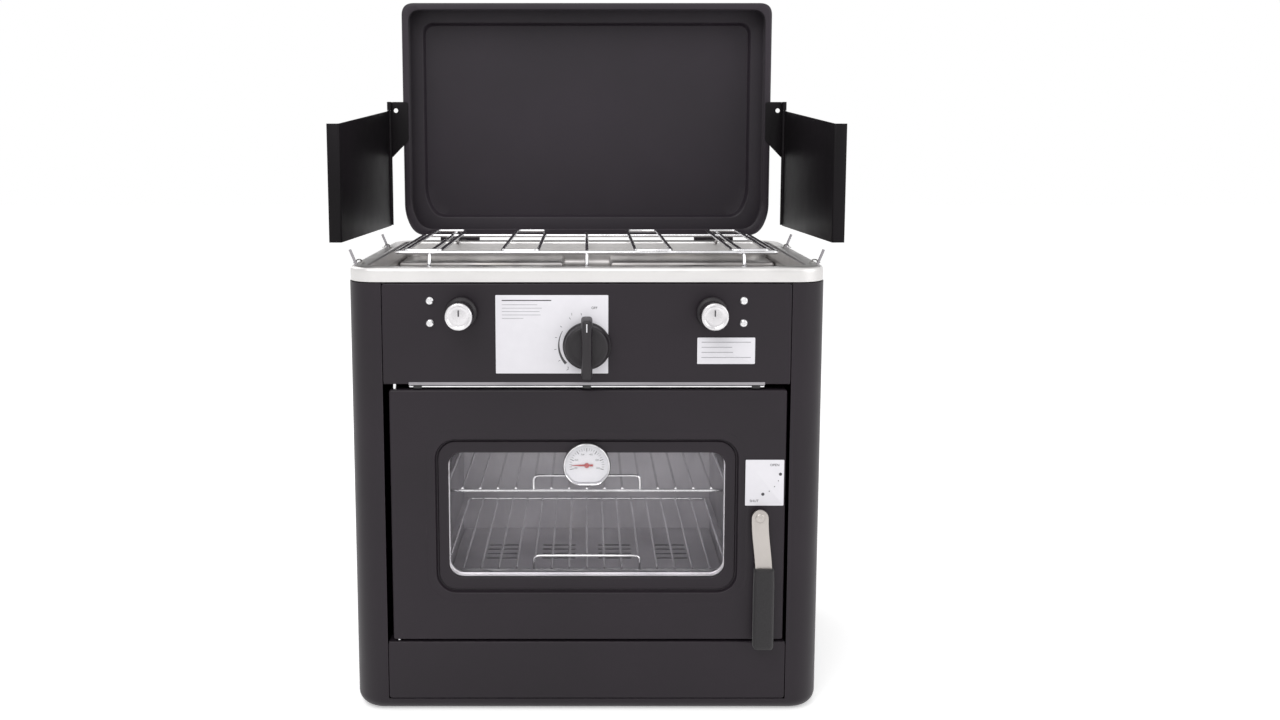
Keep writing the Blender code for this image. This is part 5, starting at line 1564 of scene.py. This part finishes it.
@dataclass
class Latch:
    """The door latch: curved steel lever with its rivet, dipped grip and tongue."""

    finishes: Finishes
    width: float = 16 * MM
    thick: float = 2.5 * MM
    drop: float = 60 * MM
    sweep: float = 4.5 * MM
    stand: float = 6 * MM
    boss: float = 6.3 * MM
    sleeve: float = 7.5 * MM

    def build(self) -> None:
        """Build every piece of the latch."""
        low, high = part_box("latch_lever")
        x, z = low.x + self.width / 2, high.z - self.width / 2
        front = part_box("door_panel")[0].y
        half = self.width / 2
        left, right = [], []
        for step in range(13):
            share = step / 12
            shift = self.sweep * (1 - math.cos(math.pi * share)) / 2
            left.append((x - half + shift, z - self.drop * share))
            right.append((x + half + shift, z - self.drop * share))
        crown = [(x + half * math.cos(math.pi * i / 16),
                  z + half * math.sin(math.pi * i / 16)) for i in range(1, 16)]
        back = front - self.stand
        bar = prism(crown + left + right[::-1], "y", back - self.thick, back, 0.5 * MM)
        shaft = lathe([(0.0, high.y), (4.5 * MM, high.y), (4.5 * MM, front), (self.boss, front - 0.3 * MM),
                       (self.boss, back), (0.0, back)], "y", (x, z), 36)
        rivet = lathe(rounded([(0.0, back), (4.6 * MM, back), (4.6 * MM, back - self.thick - 0.5 * MM),
                               (3.4 * MM, low.y), (1.6 * MM, low.y), (0.9 * MM, low.y + 0.5 * MM),
                               (0.0, low.y + 0.5 * MM)], 0.5 * MM), "y", (x, z), 32)
        piece("latch_lever_bar", joined(bar, shaft, rivet), "latch", Slot.STAINLESS, self.finishes.lever,
              "latch_lever")
        self.grip(*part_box("latch_grip"))
        dress(["latch_tongue"], self.finishes.liner)

    def grip(self, low: Vector, high: Vector) -> None:
        """The dipped sleeve, a little slimmer at its mouth and rounded at its end.

        Args:
            low: Its lowest corner.
            high: Its highest corner.
        """
        rings = []
        high = high + Vector((0.0, 0.0, self.sleeve))
        rows = [(2.6 * MM, low.z), (1.2 * MM, low.z + 0.5 * MM), (0.3 * MM, low.z + 2.0 * MM),
                (0.0, low.z + 5 * MM),
                (0.0, high.z - 16 * MM), (0.5 * MM, high.z - 3 * MM), (0.3 * MM, high.z - 1.6 * MM),
                (0.7 * MM, high.z - 0.4 * MM), (1.6 * MM, high.z)]
        for inset, z in rows:
            rings.append((round_box(low.x + inset, high.x - inset, low.y + inset, high.y - inset,
                                    4 * MM - inset, 6), z))
        sleeve = pressed(rings, "z", 1)
        piece("latch_grip_sleeve", sleeve, "latch", Slot.SILICONE, self.finishes.silicone, "latch_grip")


@dataclass
class Controls:
    """The knobs with their stems, and the printed plates of the front."""

    finishes: Finishes
    ribs: int = 28
    face_radius: float = 12.5 * MM
    bar_half: float = 5.25 * MM
    arc_radius: float = 26.2 * MM
    arc_span: Flat = (150, 222)
    arc_width: float = 2.6 * MM
    ticks: int = 7
    tick_span: Flat = (100, 22)
    dot_radius: float = 24 * MM
    dots: tuple[Flat, ...] = ((-8, 1.5), (-24, 0.5), (-40, 0.5), (-56, 0.5), (-72, 1.5))
    print_lift: float = 0.12 * MM
    print_sink: float = 0.05 * MM
    tick_reach: Flat = (28.6 * MM, 30.6 * MM)

    def build(self) -> None:
        """Build every knob and plate."""
        self.side_knob("left")
        self.side_knob("right")
        self.oven_knob()
        dress(["knob_stem_left", "knob_stem_oven", "knob_stem_right"], self.finishes.bright)
        self.control_plate()
        self.small_plate()
        self.latch_plate()

    def side_knob(self, side: str) -> None:
        """A tall black knob with a ribbed body, skirt and bright dished face.

        Args:
            side: Which side it is on, "left" or "right".
        """
        node = "burner_knob_" + side
        low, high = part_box(node)
        x, z = (low.x + high.x) / 2, (low.z + high.z) / 2
        wide = (high.x - low.x) / 2
        rim = self.face_radius
        front, back = low.y, high.y
        profile = [(0.0, back), (wide - 0.5 * MM, back), (wide, back - MM),
                   (wide - 0.6 * MM, back - 3.4 * MM),
                   (rim - 0.7 * MM, back - 5.5 * MM), (rim - 1.1 * MM, front + 3.4 * MM),
                   (0.0, front + 3.4 * MM)]
        body = lathe(rounded(profile, 0.8 * MM), "y", (x, z), 64)
        ribs = []
        for count in range(self.ribs):
            rib = box((rim - 1.8 * MM, front + 3.6 * MM, -0.45 * MM),
                      (rim - 0.45 * MM, back - 5.2 * MM, 0.45 * MM), 0.25 * MM)
            turn = Matrix.Translation((x, 0, z)) @ Matrix.Rotation(math.tau * count / self.ribs, 4, "Y")
            ribs.append(moved(rib, turn))
        piece(node + "_body", joined(body, *ribs), "knob_" + side, Slot.PLASTIC, self.finishes.plastic, node)
        dish = [(0.0, front + 3.6 * MM), (rim - 0.2 * MM, front + 3.6 * MM), (rim, front + 3.2 * MM),
                (rim, front + 0.9 * MM),
                (rim - 0.9 * MM, front), (rim - 2.3 * MM, front), (rim - 3.2 * MM, front + 0.9 * MM),
                (rim - 5.0 * MM, front + 1.1 * MM), (0.0, front + 0.8 * MM)]
        cap = lathe(rounded(dish, 0.6 * MM), "y", (x, z), 64)
        piece(node + "_face", cap, "knob_" + side, Slot.CHROME, self.finishes.knob_face)
        mark = box((x - 0.6 * MM, front - 0.1 * MM, z + 0.5 * MM),
                   (x + 0.6 * MM, front + 1.4 * MM, z + 6.2 * MM), 0.2 * MM)
        piece(node + "_mark", mark, "knob_" + side, Slot.PLASTIC, self.finishes.ink)

    def oven_knob(self) -> None:
        """The large black knob: skirt with a beaded rim, grip bar and white pointer line."""
        low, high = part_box("oven_knob")
        x, z = (low.x + high.x) / 2, (low.z + high.z) / 2
        wide = (high.x - low.x) / 2
        back = high.y
        face = back - 12 * MM
        profile = [(0.0, back), (wide - 0.8 * MM, back), (wide, back - MM), (wide - 0.2 * MM, back - 3 * MM),
                   (wide - 1.6 * MM, back - 4 * MM), (wide - 2.4 * MM, face + 1.5 * MM),
                   (wide - 4 * MM, face), (wide - 9 * MM, face + 0.8 * MM), (0.0, face + 0.8 * MM)]
        skirt = lathe(rounded(profile, 1.2 * MM), "y", (x, z), 80)
        rings = []
        half = self.bar_half
        rows = [(0.0, back - 3 * MM), (0.0, face), (0.5 * MM, face - 8 * MM), (0.9 * MM, low.y + 2 * MM),
                (1.5 * MM, low.y + 0.6 * MM), (2.5 * MM, low.y)]
        for inset, y in rows:
            reach = high.z - z - inset * 0.8
            rings.append((round_box(x - half + inset, x + half - inset, z - reach, z + reach,
                                    half * 0.55 - inset / 2, 6), y))
        bar = pressed(rings, "y", -1)
        piece("oven_knob_moulding", joined(skirt, bar), "knob_oven", Slot.PLASTIC, self.finishes.plastic,
              "oven_knob")
        line = box((x - 0.5 * MM, low.y - 0.1 * MM, high.z - 11 * MM),
                   (x + 0.5 * MM, low.y + 0.1 * MM, high.z - 3.4 * MM), 0.05 * MM)
        piece("oven_knob_pointer", line, "knob_oven", Slot.PLATE, self.finishes.white)

    def blank(self, node: str, body: str) -> tuple[Vector, Vector]:
        """A thin printed plate with eased corners.

        Args:
            node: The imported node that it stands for.
            body: The body that it rides on.

        Returns:
            The node's corners.
        """
        low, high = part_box(node)
        outline = round_box(low.x, high.x, low.z, high.z, 0.8 * MM, 4)
        piece(node + "_sheet", prism(outline, "y", low.y, high.y, 0.15 * MM), body, Slot.PLATE,
              self.finishes.white, node)
        return low, high

    def strokes(self, lines: Sequence[tuple[float, float, float, float]], y: float) -> list[BMesh]:
        """Printed bars on a plate, each from its lower left to its upper right corner."""
        return [box((a, y - self.print_lift, b), (c, y + self.print_sink, d)) for a, b, c, d in lines]

    def arc(self, centre: Flat, radius: float, start: float, end: float, width: float, y: float) -> BMesh:
        """A printed arc about the oven knob that widens to its end.

        Args:
            centre: Its middle, across and up.
            radius: Its radius.
            start: The angle at its start, in degrees.
            end: The angle at its end, in degrees.
            width: Its width at the thick end.
            y: The plate's front face.

        Returns:
            The new mesh.
        """
        steps = 28
        outer, inner = [], []
        for step in range(steps + 1):
            angle = math.radians(start + (end - start) * step / steps)
            half = width * (0.15 + 0.85 * step / steps) / 2
            outer.append((centre[0] + (radius + half) * math.cos(angle),
                          centre[1] + (radius + half) * math.sin(angle)))
            inner.append((centre[0] + (radius - half) * math.cos(angle),
                          centre[1] + (radius - half) * math.sin(angle)))
        return prism(outer + inner[::-1], "y", y - self.print_lift, y + self.print_sink)

    def control_plate(self) -> None:
        """The plate behind the oven knob: heat arc, ticks, dial words and plain ruled lines."""
        low, high = self.blank("control_plate", "cabinet")
        knob_low, knob_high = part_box("oven_knob")
        centre = ((knob_low.x + knob_high.x) / 2, (knob_low.z + knob_high.z) / 2)
        y = low.y
        marks = [self.arc(centre, self.arc_radius, *self.arc_span, self.arc_width, y)]
        (first, gap), (near, far) = self.tick_span, self.tick_reach
        for count in range(self.ticks):
            angle = math.radians(first + gap * count)
            tick = box((-0.2 * MM, y - self.print_lift, near), (0.2 * MM, y + self.print_sink, far))
            spin = Matrix.Rotation(math.pi / 2 - angle, 4, "Y")
            marks.append(moved(tick, Matrix.Translation((centre[0], 0, centre[1])) @ spin))
        marks.append(lettering("OFF", 3.2 * MM, (centre[0] + 7 * MM, high.z - 12 * MM), y - self.print_lift))
        marks.append(lettering("1", 3.4 * MM, (centre[0] - 14 * MM, high.z - 18 * MM), y - self.print_lift))
        marks.append(lettering("2", 3.4 * MM, (centre[0] - 17.5 * MM, low.z + 5 * MM), y - self.print_lift))
        left = low.x + 6 * MM
        marks += self.strokes([(left, high.z - 5.4 * MM, left + 46 * MM, high.z - 4.5 * MM)], y)
        piece("control_plate_print", joined(*marks), "cabinet", Slot.PLASTIC, self.finishes.ink)
        pale = [(left, high.z - (9.2 + 3.2 * row) * MM, left + reach * MM, high.z - (8.8 + 3.2 * row) * MM)
                for row, reach in enumerate((33, 37, 35, 36, 20))]
        piece("control_plate_rules", joined(*self.strokes(pale, y)), "cabinet", Slot.PLASTIC,
              self.finishes.pale_ink)

    def small_plate(self) -> None:
        """The small plate at the right, with plain ruled lines."""
        low, high = self.blank("small_plate", "cabinet")
        left, right = low.x + 4 * MM, high.x - 4 * MM
        rows = ((0, 1.0), (4.8, 0.62), (9.6, 0.64), (14.4, 1.0))
        rules = [(left, high.z - (4.6 + drop) * MM, left + (right - left) * share, high.z - (4.0 + drop) * MM)
                 for drop, share in rows]
        piece("small_plate_rules", joined(*self.strokes(rules, low.y)), "cabinet", Slot.PLASTIC,
              self.finishes.pale_ink)

    def latch_plate(self) -> None:
        """The plate above the latch: two dots joined by a dashed arc and the word OPEN."""
        low, high = self.blank("latch_plate", "door")
        x, z = (low.x + high.x) / 2 - 9 * MM, low.z + 34 * MM
        y = low.y
        marks = []
        for angle, wide in self.dots:
            turn = math.radians(angle)
            spot = (x + self.dot_radius * math.cos(turn), z + self.dot_radius * math.sin(turn))
            marks.append(prism(circle(spot, wide * MM, 20), "y", y - self.print_lift, y + self.print_sink))
        marks.append(lettering("OPEN", 3.4 * MM, (high.x - 9 * MM, high.z - 5 * MM), y - self.print_lift))
        marks.append(lettering("SHUT", 3.4 * MM, (low.x + 8.5 * MM, low.z + 4.5 * MM), y - self.print_lift))
        piece("latch_plate_print", joined(*marks), "door", Slot.PLASTIC, self.finishes.ink)


@dataclass
class Lid:
    """The pressed lid with its hinges and the ears that carry the wind panels."""

    finishes: Finishes
    sheet: float = 1.2 * MM
    corner: float = 14 * MM
    chamfer: Flat = (12 * MM, 24 * MM)
    lip: float = 8 * MM
    fold: float = 3 * MM
    step: float = 22 * MM
    step_depth: float = 6 * MM
    ear_chamfer: float = 14 * MM
    ear_width: float = 21.5 * MM
    ear_height: float = 66 * MM
    ear_hole: tuple[float, float, float] = (7.2 * MM, 10 * MM, 2.6 * MM)

    def build(self) -> None:
        """Build every piece of the lid."""
        self.pan()
        for side in ("left", "right"):
            self.ear(side)
            dress(["hinge_leaf_" + side, "lid_leaf_" + side], self.finishes.paint)

    def outline(self, inset: float) -> list[Flat]:
        """The lid's outline: round upper corners and cut lower corners, softened.

        Args:
            inset: How much smaller it is all round.

        Returns:
            The points of the outline.
        """
        low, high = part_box("lid_pan")
        half, top, bottom = high.x - inset, high.z - inset, low.z + inset
        cut_x, cut_z = self.chamfer
        corners = [(0.0, top), (-half, top), (-half, bottom + cut_z), (-half + cut_x, bottom),
                   (half - cut_x, bottom), (half, bottom + cut_z), (half, top), (0.0, top)]
        return rounded(corners, self.corner, 9)[:-1]

    def pan(self) -> None:
        """The deep pan: rolled lip, walls, shoulder and raised middle."""
        low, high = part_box("lid_pan")
        front, back = low.y, high.y
        shoulder = back - self.step_depth
        inner = 1.0 * MM
        rings = [(self.outline(self.lip), front + 0.8 * MM), (self.outline(self.lip - inner), front)]
        rings += [(self.outline(i), front + d) for i, d in reversed(quarter(self.fold, 6))]
        rings += [(self.outline(i), shoulder - d) for i, d in quarter(5 * MM, 6)]
        rings += [(self.outline(self.step - 4 * MM * left), shoulder + self.step_depth * down * 0.97)
                  for left, down in swell(10)]
        rings += [(self.outline(self.step + 10 * MM), back)]
        # Painted light: the lid's black paint is a lighter copy of the body's.
        piece("lid_pressing", pressed(rings, "y", 1, self.sheet), "lid", Slot.PAINT, self.finishes.lid_paint_painted_light,
              "lid_pan")

    def ear(self, side: str) -> None:
        """The ear with its hole, hinge collar and pin.

        Args:
            side: Which side it is on, "left" or "right".
        """
        node = "wing_bracket_" + side
        low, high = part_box(node)
        sign = 1 if side == "right" else -1
        axis = (sign * WING_AXIS[0], WING_AXIS[1])
        outer, inner = axis[0] - sign * 0.9 * MM, axis[0] - sign * self.ear_width
        bottom = high.z - self.ear_height
        corners = [((outer + inner) / 2, high.z), (outer, high.z), (outer, bottom),
                   (inner + sign * self.ear_chamfer / 2, bottom + self.ear_chamfer),
                   (inner, bottom + self.ear_chamfer * 1.5), (inner, high.z), ((outer + inner) / 2, high.z)]
        y1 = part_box("lid_pan")[0].y - 0.3 * MM
        plate = prism(rounded(corners, 3 * MM, 5)[:-1], "y", y1 - MM, y1, 0.25 * MM)
        across, down, radius = self.ear_hole
        hole = (axis[0] - sign * across, high.z - down)
        plate = carve(plate, prism(circle(hole, radius, 24), "y", y1 - 3 * MM, y1 + 2 * MM))
        collar = lathe(rounded([(0.0, high.z), (2.6 * MM, high.z), (2.6 * MM, high.z - 10 * MM),
                                (1.2 * MM, high.z - 10 * MM), (1.2 * MM, low.z), (0.0, low.z)], 0.4 * MM),
                                "z", axis, 24)
        tab = box((min(outer, axis[0]) - MM, axis[1], high.z - 9.6 * MM),
                  (max(outer, axis[0]) + MM, y1 - 0.4 * MM, high.z - 0.4 * MM), 0.3 * MM)
        # Painted shade: the ear takes the darker copy of the black paint.
        piece(node + "_ear", joined(plate, collar, tab), "lid", Slot.PAINT, self.finishes.wing_paint_painted_shade, node)


@dataclass
class WindPanels:
    """The two folded wind panels and the bent wire stays under them."""

    finishes: Finishes
    sheet: float = 1.0 * MM
    reach: float = 215 * MM
    splay: float = 12 * MM
    front_height: float = 116.8 * MM
    flange: float = 12 * MM
    knuckle: float = 2.6 * MM
    pin: float = 1.2 * MM
    stay_wire: float = 2.6 * MM
    stay_bend: float = 3.5 * MM

    def build(self) -> None:
        """Build both sides."""
        for side, sign in (("left", -1), ("right", 1)):
            self.panel(side, sign)
            self.stay(side)

    def panel(self, side: str, sign: int) -> None:
        """A wind panel: sloped sheet with a stiffening flange and hinge sleeve.

        Args:
            side: Which side it is on, "left" or "right".
            sign: 1 on the right and -1 on the left.
        """
        low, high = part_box("wind_panel_" + side)
        x, y = sign * WING_AXIS[0], WING_AXIS[1]
        top_front = low.z + self.front_height
        half = self.sheet / 2
        front = y - self.reach
        bend = 2.4 * MM
        inner, outer = (x - sign * half, x + sign * half)
        tip = x + sign * self.flange
        plan = rounded([(inner, y - self.knuckle / 2), (inner, front), (tip, front)], bend, 6)
        plan += rounded([(tip, front + self.sheet), (outer, front + self.sheet),
                         (outer, y - self.knuckle / 2)],
                        bend - self.sheet, 6)
        sheet = prism(plan, "z", low.z, high.z, 0.0)
        slope = (high.z - top_front) / self.reach
        bmesh.ops.bisect_plane(sheet, geom=sheet.verts[:] + sheet.edges[:] + sheet.faces[:], dist=1e-6,
                               plane_co=(0, front, top_front), plane_no=(0, -slope, 1), clear_outer=True)
        bmesh.ops.holes_fill(sheet, edges=[e for e in sheet.edges if e.is_boundary])
        bmesh.ops.recalc_face_normals(sheet, faces=sheet.faces)
        soften(sheet, 0.25 * MM, 2, sharp_edges(sheet, 50))
        turn = sign * math.asin(self.splay / self.reach)
        sheet = moved(sheet, about((x, y, 0.0), "z", turn))
        sleeve_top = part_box("wing_bracket_" + side)[1].z - 10.3 * MM
        sleeve = lathe([(self.pin + 0.3 * MM, low.z + MM), (self.knuckle, low.z + MM),
                        (self.knuckle, sleeve_top),
                        (self.pin + 0.3 * MM, sleeve_top), (self.pin + 0.3 * MM, low.z + MM)], "z", (x, y),
                        24)
        # Painted shade: the panel takes the darker copy of the black paint.
        piece(f"wind_panel_{side}_sheet", joined(sheet, sleeve), "wing_" + side, Slot.PAINT,
              self.finishes.wing_paint_painted_shade, "wind_panel_" + side)

    def stay(self, side: str) -> None:
        """A bent wire that lies on the rim and props the wind panel.

        Args:
            side: Which side it is on, "left" or "right".
        """
        node = "wing_stay_" + side
        low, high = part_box(node)
        radius = self.stay_wire / 2
        y0, y1 = low.y + radius, high.y - radius
        rest, tip = low.x + radius, high.x - radius
        if side == "left":
            rest, tip = tip, rest
        path = [(tip, y0, high.z - radius), (rest, y0, low.z + radius), (rest, y1, low.z + radius),
                (tip, y1, high.z - radius)]
        piece(node + "_wire", wires([(path, False)], radius, self.stay_bend, 4), "stay_" + side, Slot.CHROME,
              self.finishes.hem, node)


@dataclass
class Studio:
    """The pale floor, the soft lamps and the camera."""

    focal: float = 1103.0
    eye: Point = (0.0, -1.1575, 0.5514)
    pitch: float = 6.28
    centre: Flat = (586.8, 260.0)
    frame_size: Flat = (1280.0, 720.0)
    floor_size: float = 8.0
    floor_drop: float = 0.5 * MM
    matt: float = 0.88
    glow: float = 0.40
    soft: float = 0.70
    sensor: float = 36.0
    target: Point = (0.0, 0.0, 0.3)
    lamp_set: tuple[tuple[str, Point, float, float], ...] = (
        ("key", (-0.6, -1.7, 2.1), 1.6, 26.0), ("fill", (1.9, -1.2, 1.2), 1.4, 11.0),
        ("rim", (-1.6, 1.5, 1.8), 1.4, 12.0))

    def build(self) -> None:
        """Set up the stage."""
        self.floor()
        self.lamps()
        self.camera()
        bpy.context.scene.view_settings.view_transform = "Standard"

    def floor(self) -> None:
        """A white floor that keeps the oven's shadow, and a plain white surround."""
        bm = bmesh.new()
        bmesh.ops.create_grid(bm, x_segments=1, y_segments=1, size=self.floor_size)
        bmesh.ops.translate(bm, verts=bm.verts, vec=(0.0, 0.0, -self.floor_drop))
        made = placed("studio_floor", bm)
        material = bpy.data.materials.new("studio_white")
        material.use_nodes = True
        tree = material.node_tree
        tree.nodes.clear()
        matt = add(tree, "ShaderNodeBsdfDiffuse", {"Color": (self.matt, self.matt, self.matt, 1.0)})
        glow = add(tree, "ShaderNodeEmission", {"Color": (1.0, 1.0, 1.0, 1.0), "Strength": self.glow})
        both = add(tree, "ShaderNodeAddShader", links={0: matt.outputs[0], 1: glow.outputs[0]})
        seen = self.plain_ray(tree)
        pick = add(tree, "ShaderNodeMixShader", links={0: seen, 1: matt.outputs[0], 2: both.outputs[0]})
        add(tree, "ShaderNodeOutputMaterial", links={"Surface": pick.outputs[0]})
        made.data.materials.append(material)
        self.surround()

    def plain_ray(self, tree: NodeTree) -> object:
        """The output that is 1 for rays that the camera, metal or glass looks along.

        Args:
            tree: The node tree that takes the nodes.

        Returns:
            The output with the value.
        """
        path = add(tree, "ShaderNodeLightPath")
        seen = add(tree, "ShaderNodeMath", {"operation": "MAXIMUM"},
                   {0: path.outputs["Is Camera Ray"], 1: path.outputs["Is Transmission Ray"]})
        return add(tree, "ShaderNodeMath", {"operation": "MAXIMUM"},
                   {0: seen.outputs[0], 1: path.outputs["Is Glossy Ray"]}).outputs[0]

    def surround(self) -> None:
        """Even grey light from all round, which the camera and clear glass see as white."""
        world = bpy.data.worlds.new("studio_surround")
        world.use_nodes = True
        bpy.context.scene.world = world
        tree = world.node_tree
        tree.nodes.clear()
        soft = add(tree, "ShaderNodeBackground", {"Color": (1.0, 1.0, 1.0, 1.0), "Strength": self.soft})
        white = add(tree, "ShaderNodeBackground", {"Color": (1.0, 1.0, 1.0, 1.0), "Strength": 1.0})
        seen = self.plain_ray(tree)
        pick = add(tree, "ShaderNodeMixShader", links={0: seen, 1: soft.outputs[0], 2: white.outputs[0]})
        add(tree, "ShaderNodeOutputWorld", links={"Surface": pick.outputs[0]})

    def lamps(self) -> None:
        """A broad lamp overhead in front and one to each side."""
        for name, place, size, power in self.lamp_set:
            data = bpy.data.lights.new("studio_" + name, "AREA")
            data.size = size
            data.energy = power
            lamp = bpy.data.objects.new("studio_" + name, data)
            lamp.location = place
            lamp.rotation_euler = (Vector(self.target) - Vector(place)).to_track_quat("-Z", "Y").to_euler()
            bpy.context.scene.collection.objects.link(lamp)

    def camera(self) -> None:
        """The camera at the photograph's place and framing."""
        data = bpy.data.cameras.new("photo_camera")
        width, height = self.frame_size
        data.sensor_width = self.sensor
        data.lens = self.focal * self.sensor / width
        data.shift_x = (width / 2 - self.centre[0]) / width
        data.shift_y = (self.centre[1] - height / 2) / width
        data.clip_start = 0.05
        camera = bpy.data.objects.new("photo_camera", data)
        camera.location = self.eye
        camera.rotation_euler = (math.radians(90 - self.pitch), 0.0, 0.0)
        bpy.context.scene.collection.objects.link(camera)
        bpy.context.scene.camera = camera


def main() -> None:
    """Build the oven's sub-assemblies in order, then the studio."""
    finishes = Finishes()
    for assembly in (Cabinet, HobTray, Burners, Grate, Oven, Door, Thermometer, Latch, Controls, Lid,
                     WindPanels):
        assembly(finishes).build()
    Studio().build()


if __name__ == "__main__":
    main()
